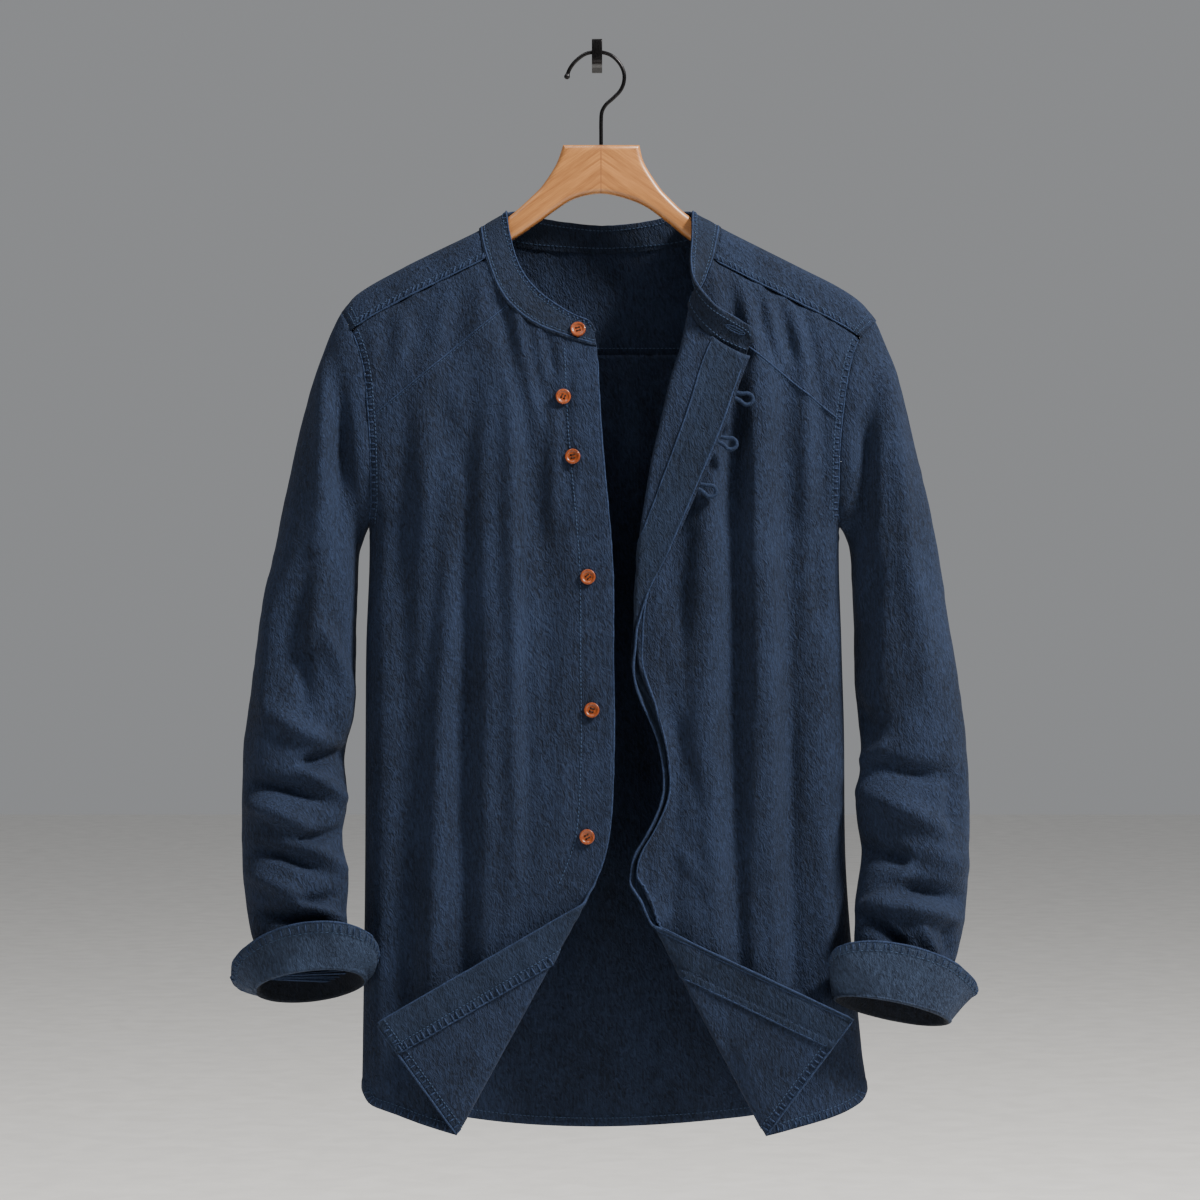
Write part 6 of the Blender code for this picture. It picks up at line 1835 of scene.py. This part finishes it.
# --- materials ----------------------------------------------------------------------------------
def surface(name, **inputs):
    """A new finish: its node tree, and its shader with these inputs."""
    finish = bpy.data.materials.new(name)
    finish.use_nodes = True
    FINISHES[name] = finish
    shader = finish.node_tree.nodes["Principled BSDF"]
    for socket, value in inputs.items():
        shader.inputs[socket.replace("_", " ")].default_value = value
    return finish.node_tree, shader


def node(tree, kind, settings=(), ends=None, **links):
    """Adds a shader node; links are socket=value or socket=(node, output), with _2 for the third
    socket, and `ends` are a ramp's two colours."""
    made = tree.nodes.new(kind)
    for key, value in dict(settings).items():
        setattr(made, key, value)
    for stop, code in zip(made.color_ramp.elements if ends else (), ends or ()):
        stop.color = linear(code)
    for socket, value in links.items():
        target = made.inputs[int(socket[1:])] if socket[0] == "_" else made.inputs[socket]
        if isinstance(value, tuple) and hasattr(value[0], "outputs"):
            tree.links.new(value[0].outputs[value[1]], target)
        else:
            target.default_value = value
    return made


def dress(tree, shader, colour, bump):
    """Gives a shader its colour, from a node and its output, and its relief."""
    tree.links.new(colour[0].outputs[colour[1]], shader.inputs["Base Color"])
    tree.links.new(bump.outputs[0], shader.inputs["Normal"])


def cloth_finish(name, dark, light, rough, crinkle):
    """Piece-dyed linen and cotton crepe, washed soft: short slanting crinkles and a faint nap."""
    tree, shader = surface(name, Roughness=rough, Specular_IOR_Level=0.14, Sheen_Weight=0.035,
                           Sheen_Roughness=0.5, Sheen_Tint=linear("#8a94a8"))
    place = node(tree, "ShaderNodeTexCoord")
    # crinkles about 1.5 mm wide and 4 to 6 mm long, which slant down to the wearer's left
    slanted = node(tree, "ShaderNodeMapping", Vector=(place, "Object"), Rotation=(0, 0.42, 0))
    crinkled = node(tree, "ShaderNodeMapping", Vector=(slanted, 0), Scale=(560, 560, 200))
    crepe = node(tree, "ShaderNodeTexNoise", Vector=(crinkled, 0), Scale=1.0, Detail=2.0,
                 Roughness=0.55, Distortion=0.9)
    # slubs: thicker yarns of the warp, drawn 1.3 mm wide so that they show
    drawn = node(tree, "ShaderNodeMapping", Vector=(place, "Object"), Scale=(760, 760, 95))
    slub = node(tree, "ShaderNodeTexNoise", Vector=(drawn, 0), Scale=1.0, Detail=1.0,
                Distortion=0.4)
    # the dye is washed a little paler in patches about 40 mm across
    washed_at = node(tree, "ShaderNodeMapping", Vector=(place, "Object"), Scale=(26, 26, 14))
    washed = node(tree, "ShaderNodeTexNoise", Vector=(washed_at, 0), Scale=1.0, Detail=2.0)
    mixed = node(tree, "ShaderNodeMath", {"operation": "MULTIPLY_ADD"}, _0=(slub, 0), _1=0.45,
                 _2=(crepe, 0))
    both = node(tree, "ShaderNodeMath", {"operation": "MULTIPLY_ADD"}, _0=(washed, 0), _1=0.45,
                _2=(mixed, 0))
    spread = node(tree, "ShaderNodeMapRange", _0=(both, 0), _1=0.72, _2=1.18)
    colour = node(tree, "ShaderNodeValToRGB", ends=(dark, light), Fac=(spread, 0))
    bump = node(tree, "ShaderNodeBump", Height=(mixed, 0), Strength=crinkle, Distance=0.0022)
    dress(tree, shader, (colour, 0), bump)


def beech_finish():
    """Steamed beech, sanded and varnished: two halves whose grain meets at the centre joint."""
    tree, shader = surface("beech", Roughness=0.42, Coat_Weight=0.25, Coat_Roughness=0.25)
    place = node(tree, "ShaderNodeTexCoord")
    apart = node(tree, "ShaderNodeSeparateXYZ", Vector=(place, "Object"))
    centred = node(tree, "ShaderNodeMath", {"operation": "SUBTRACT"}, _0=(apart, 0),
                   _1=3.3 * MM)
    beside = node(tree, "ShaderNodeMath", {"operation": "ABSOLUTE"}, _0=(centred, 0))
    mirrored = node(tree, "ShaderNodeCombineXYZ", X=(beside, 0), Y=(apart, 1), Z=(apart, 2))
    # grain runs out and down each arm; its bands are 2 to 4 mm wide
    turned = node(tree, "ShaderNodeMapping", Vector=(mirrored, 0), Rotation=(0, -0.62, 0))
    banded = node(tree, "ShaderNodeMapping", Vector=(turned, 0), Scale=(10, 90, 300))
    bands = node(tree, "ShaderNodeTexNoise", Vector=(banded, 0), Scale=1.0, Detail=3.0,
                 Distortion=0.6)
    flecked = node(tree, "ShaderNodeMapping", Vector=(turned, 0), Scale=(110, 900, 1700))
    flecks = node(tree, "ShaderNodeTexNoise", Vector=(flecked, 0), Scale=1.0, Detail=1.0)
    both = node(tree, "ShaderNodeMath", {"operation": "MULTIPLY_ADD"}, _0=(flecks, 0), _1=0.35,
                _2=(bands, 0))
    spread = node(tree, "ShaderNodeMapRange", _0=(both, 0), _1=0.42, _2=0.9)
    wood = node(tree, "ShaderNodeValToRGB", ends=("#7a4b25", "#a8713c"), Fac=(spread, 0))
    # the glue line at the joint is under a millimetre wide, with soft ends
    glue = node(tree, "ShaderNodeMapRange", _0=(beside, 0), _1=0.0002, _2=0.0006)
    joint = node(tree, "ShaderNodeMix", {"data_type": "RGBA"}, Factor=(glue, 0),
                 _6=linear("#7a4c2a"), _7=(wood, 0))
    bump = node(tree, "ShaderNodeBump", Height=(both, 0), Strength=0.12, Distance=0.0004)
    dress(tree, shader, (joint, 2), bump)


def fine_finish(name, dark, light, rough, grain, bump, metal=0.0, coat=0.0, shine=0.3):
    """A small-grained surface: `grain` is the grain's size across and along, in mm."""
    tree, shader = surface(name, Roughness=rough, Metallic=metal, Coat_Weight=coat,
                           Coat_Roughness=0.12, Specular_IOR_Level=shine)
    place = node(tree, "ShaderNodeTexCoord")
    scale = (1000 / grain[0], 1000 / grain[0], 1000 / grain[1])
    drawn = node(tree, "ShaderNodeMapping", Vector=(place, "Object"), Scale=scale)
    specks = node(tree, "ShaderNodeTexNoise", Vector=(drawn, 0), Scale=1.0, Detail=2.0,
                  Distortion=0.5)
    spread = node(tree, "ShaderNodeMapRange", _0=(specks, 0), _1=0.32, _2=0.68)
    colour = node(tree, "ShaderNodeValToRGB", ends=(dark, light), Fac=(spread, 0))
    raised = node(tree, "ShaderNodeBump", Height=(specks, 0), Strength=0.5, Distance=bump * MM)
    dress(tree, shader, (colour, 0), raised)


def make_finishes():
    """Every finish of the shirt, its hanger and the floor."""
    # the cloth's right side
    cloth_finish("cloth_outer", "#0f1521", "#1f293e", 0.88, 0.78)
    # its wrong side, on the facings
    cloth_finish("cloth_inner", "#0f1622", "#1d273a", 0.88, 0.7)
    # the cloth's wrong side on the turned cuffs, where the nap is brushed paler
    cloth_finish("cloth_turned", "#181f2d", "#2c374b", 0.88, 0.7)
    # the wrong side within a sleeve, drawn darker than it is, to help the shade in its mouth
    cloth_finish("cloth_within", "#07090e", "#10151f", 0.92, 0.7)
    # the collar's cloth, pressed flat over its interfacing, darker than the rest as painted shade
    cloth_finish("cloth_pressed_painted_shade", "#0c121c", "#1a2335", 0.86, 0.8)
    # the same cloth rolled in a seam's edge, drawn a little paler: a painted highlight on the roll
    fine_finish("cloth_edge", "#161f2f", "#2a3650", 0.85, (0.9, 1.6), 0.3, shine=0.12)
    # spun polyester sewing thread, paler than the cloth, so that its rows show
    fine_finish("thread", "#1f2a3d", "#33425a", 0.7, (0.4, 0.7), 0.1, shine=0.12)
    # three-ply thread through the buttons
    fine_finish("button_thread", "#1a100b", "#2c1d15", 0.7, (0.4, 0.7), 0.1, shine=0.2)
    # rolled bias strip of the same cloth
    fine_finish("cord", "#101827", "#222d43", 0.85, (0.8, 1.2), 0.35, shine=0.12)
    # turned hardwood, stained orange-brown and lacquered; pores about 0.4 mm wide
    fine_finish("button_wood", "#582406", "#853d10", 0.42, (0.5, 2.5), 0.05, coat=0.25)
    beech_finish()
    # steel wire and strap, blackened and waxed
    fine_finish("gunmetal", "#1b1a1b", "#2d2c2d", 0.36, (0.6, 1.5), 0.02, metal=1.0, shine=0.5)
    # smooth pale plaster floor, mottled over about 60 mm
    fine_finish("floor", "#ebe9e5", "#f4f2ee", 0.9, (60, 60), 0.1, shine=0.2)


# --- room ---------------------------------------------------------------------------------------
def lamp(name, place, aim, size, watts, colour):
    """A soft square lamp, turned to its aim."""
    data = bpy.data.lights.new(name, "AREA")
    data.shape = "RECTANGLE"
    data.size, data.size_y = size
    data.energy = watts
    data.color = colour
    obj = add_object(name, data)
    obj.location = place
    obj.rotation_euler = (Vector(aim) - Vector(place)).to_track_quat("-Z", "Y").to_euler()


def make_room():
    """A pale floor, a soft surrounding light and two lamps."""
    world = bpy.data.worlds.new("room")
    bpy.context.scene.world = world
    world.use_nodes = True
    back = world.node_tree.nodes["Background"]
    back.inputs["Color"].default_value = linear("#dfe1e4")
    back.inputs["Strength"].default_value = 0.36
    aim = (0.0, -0.09, -0.5)      # the middle of the shirt
    lamp("key", (2.5, -1.55, 2.35), aim, (0.7, 0.7), 450, (1.0, 0.975, 0.94))
    lamp("top", (-1.0, -1.2, 2.6), aim, (1.4, 1.4), 60, (1.0, 1.0, 1.0))
    bpy.ops.object.select_all(action="DESELECT")
    bpy.ops.mesh.primitive_plane_add(size=24, location=(0, 0, -1.25))
    floor = bpy.context.active_object
    floor.name = "floor"
    floor.data.materials.append(FINISHES["floor"])


# --- all ----------------------------------------------------------------------------------------
STITCH = stitch_shape()


def main():
    """Makes every piece, the sheets of cloth first and what lies on them after."""
    make_finishes()
    made = {side: make_front(side) for side in SIDES}
    fronts = {}
    for side, (lines, row_fold, runs) in made.items():
        make_facing(side, lines, row_fold, runs)
        fronts[side] = runs
    make_yoke()
    hem, armholes = make_back()
    cuffs = {}
    for side in SIDES:
        make_sleeve(side)
        cuffs[side] = make_cuff(side)
    collar = make_collar()
    sew_fronts(fronts)
    sew_rest(hem, armholes, collar, cuffs)
    edge_seams(fronts, collar)
    tuck_seams(fronts, collar, cuffs)
    make_buttons()
    make_buttonhole()
    make_loops()
    make_hanger()
    make_hanger_hook()
    make_wall_hook()
    make_room()


main()
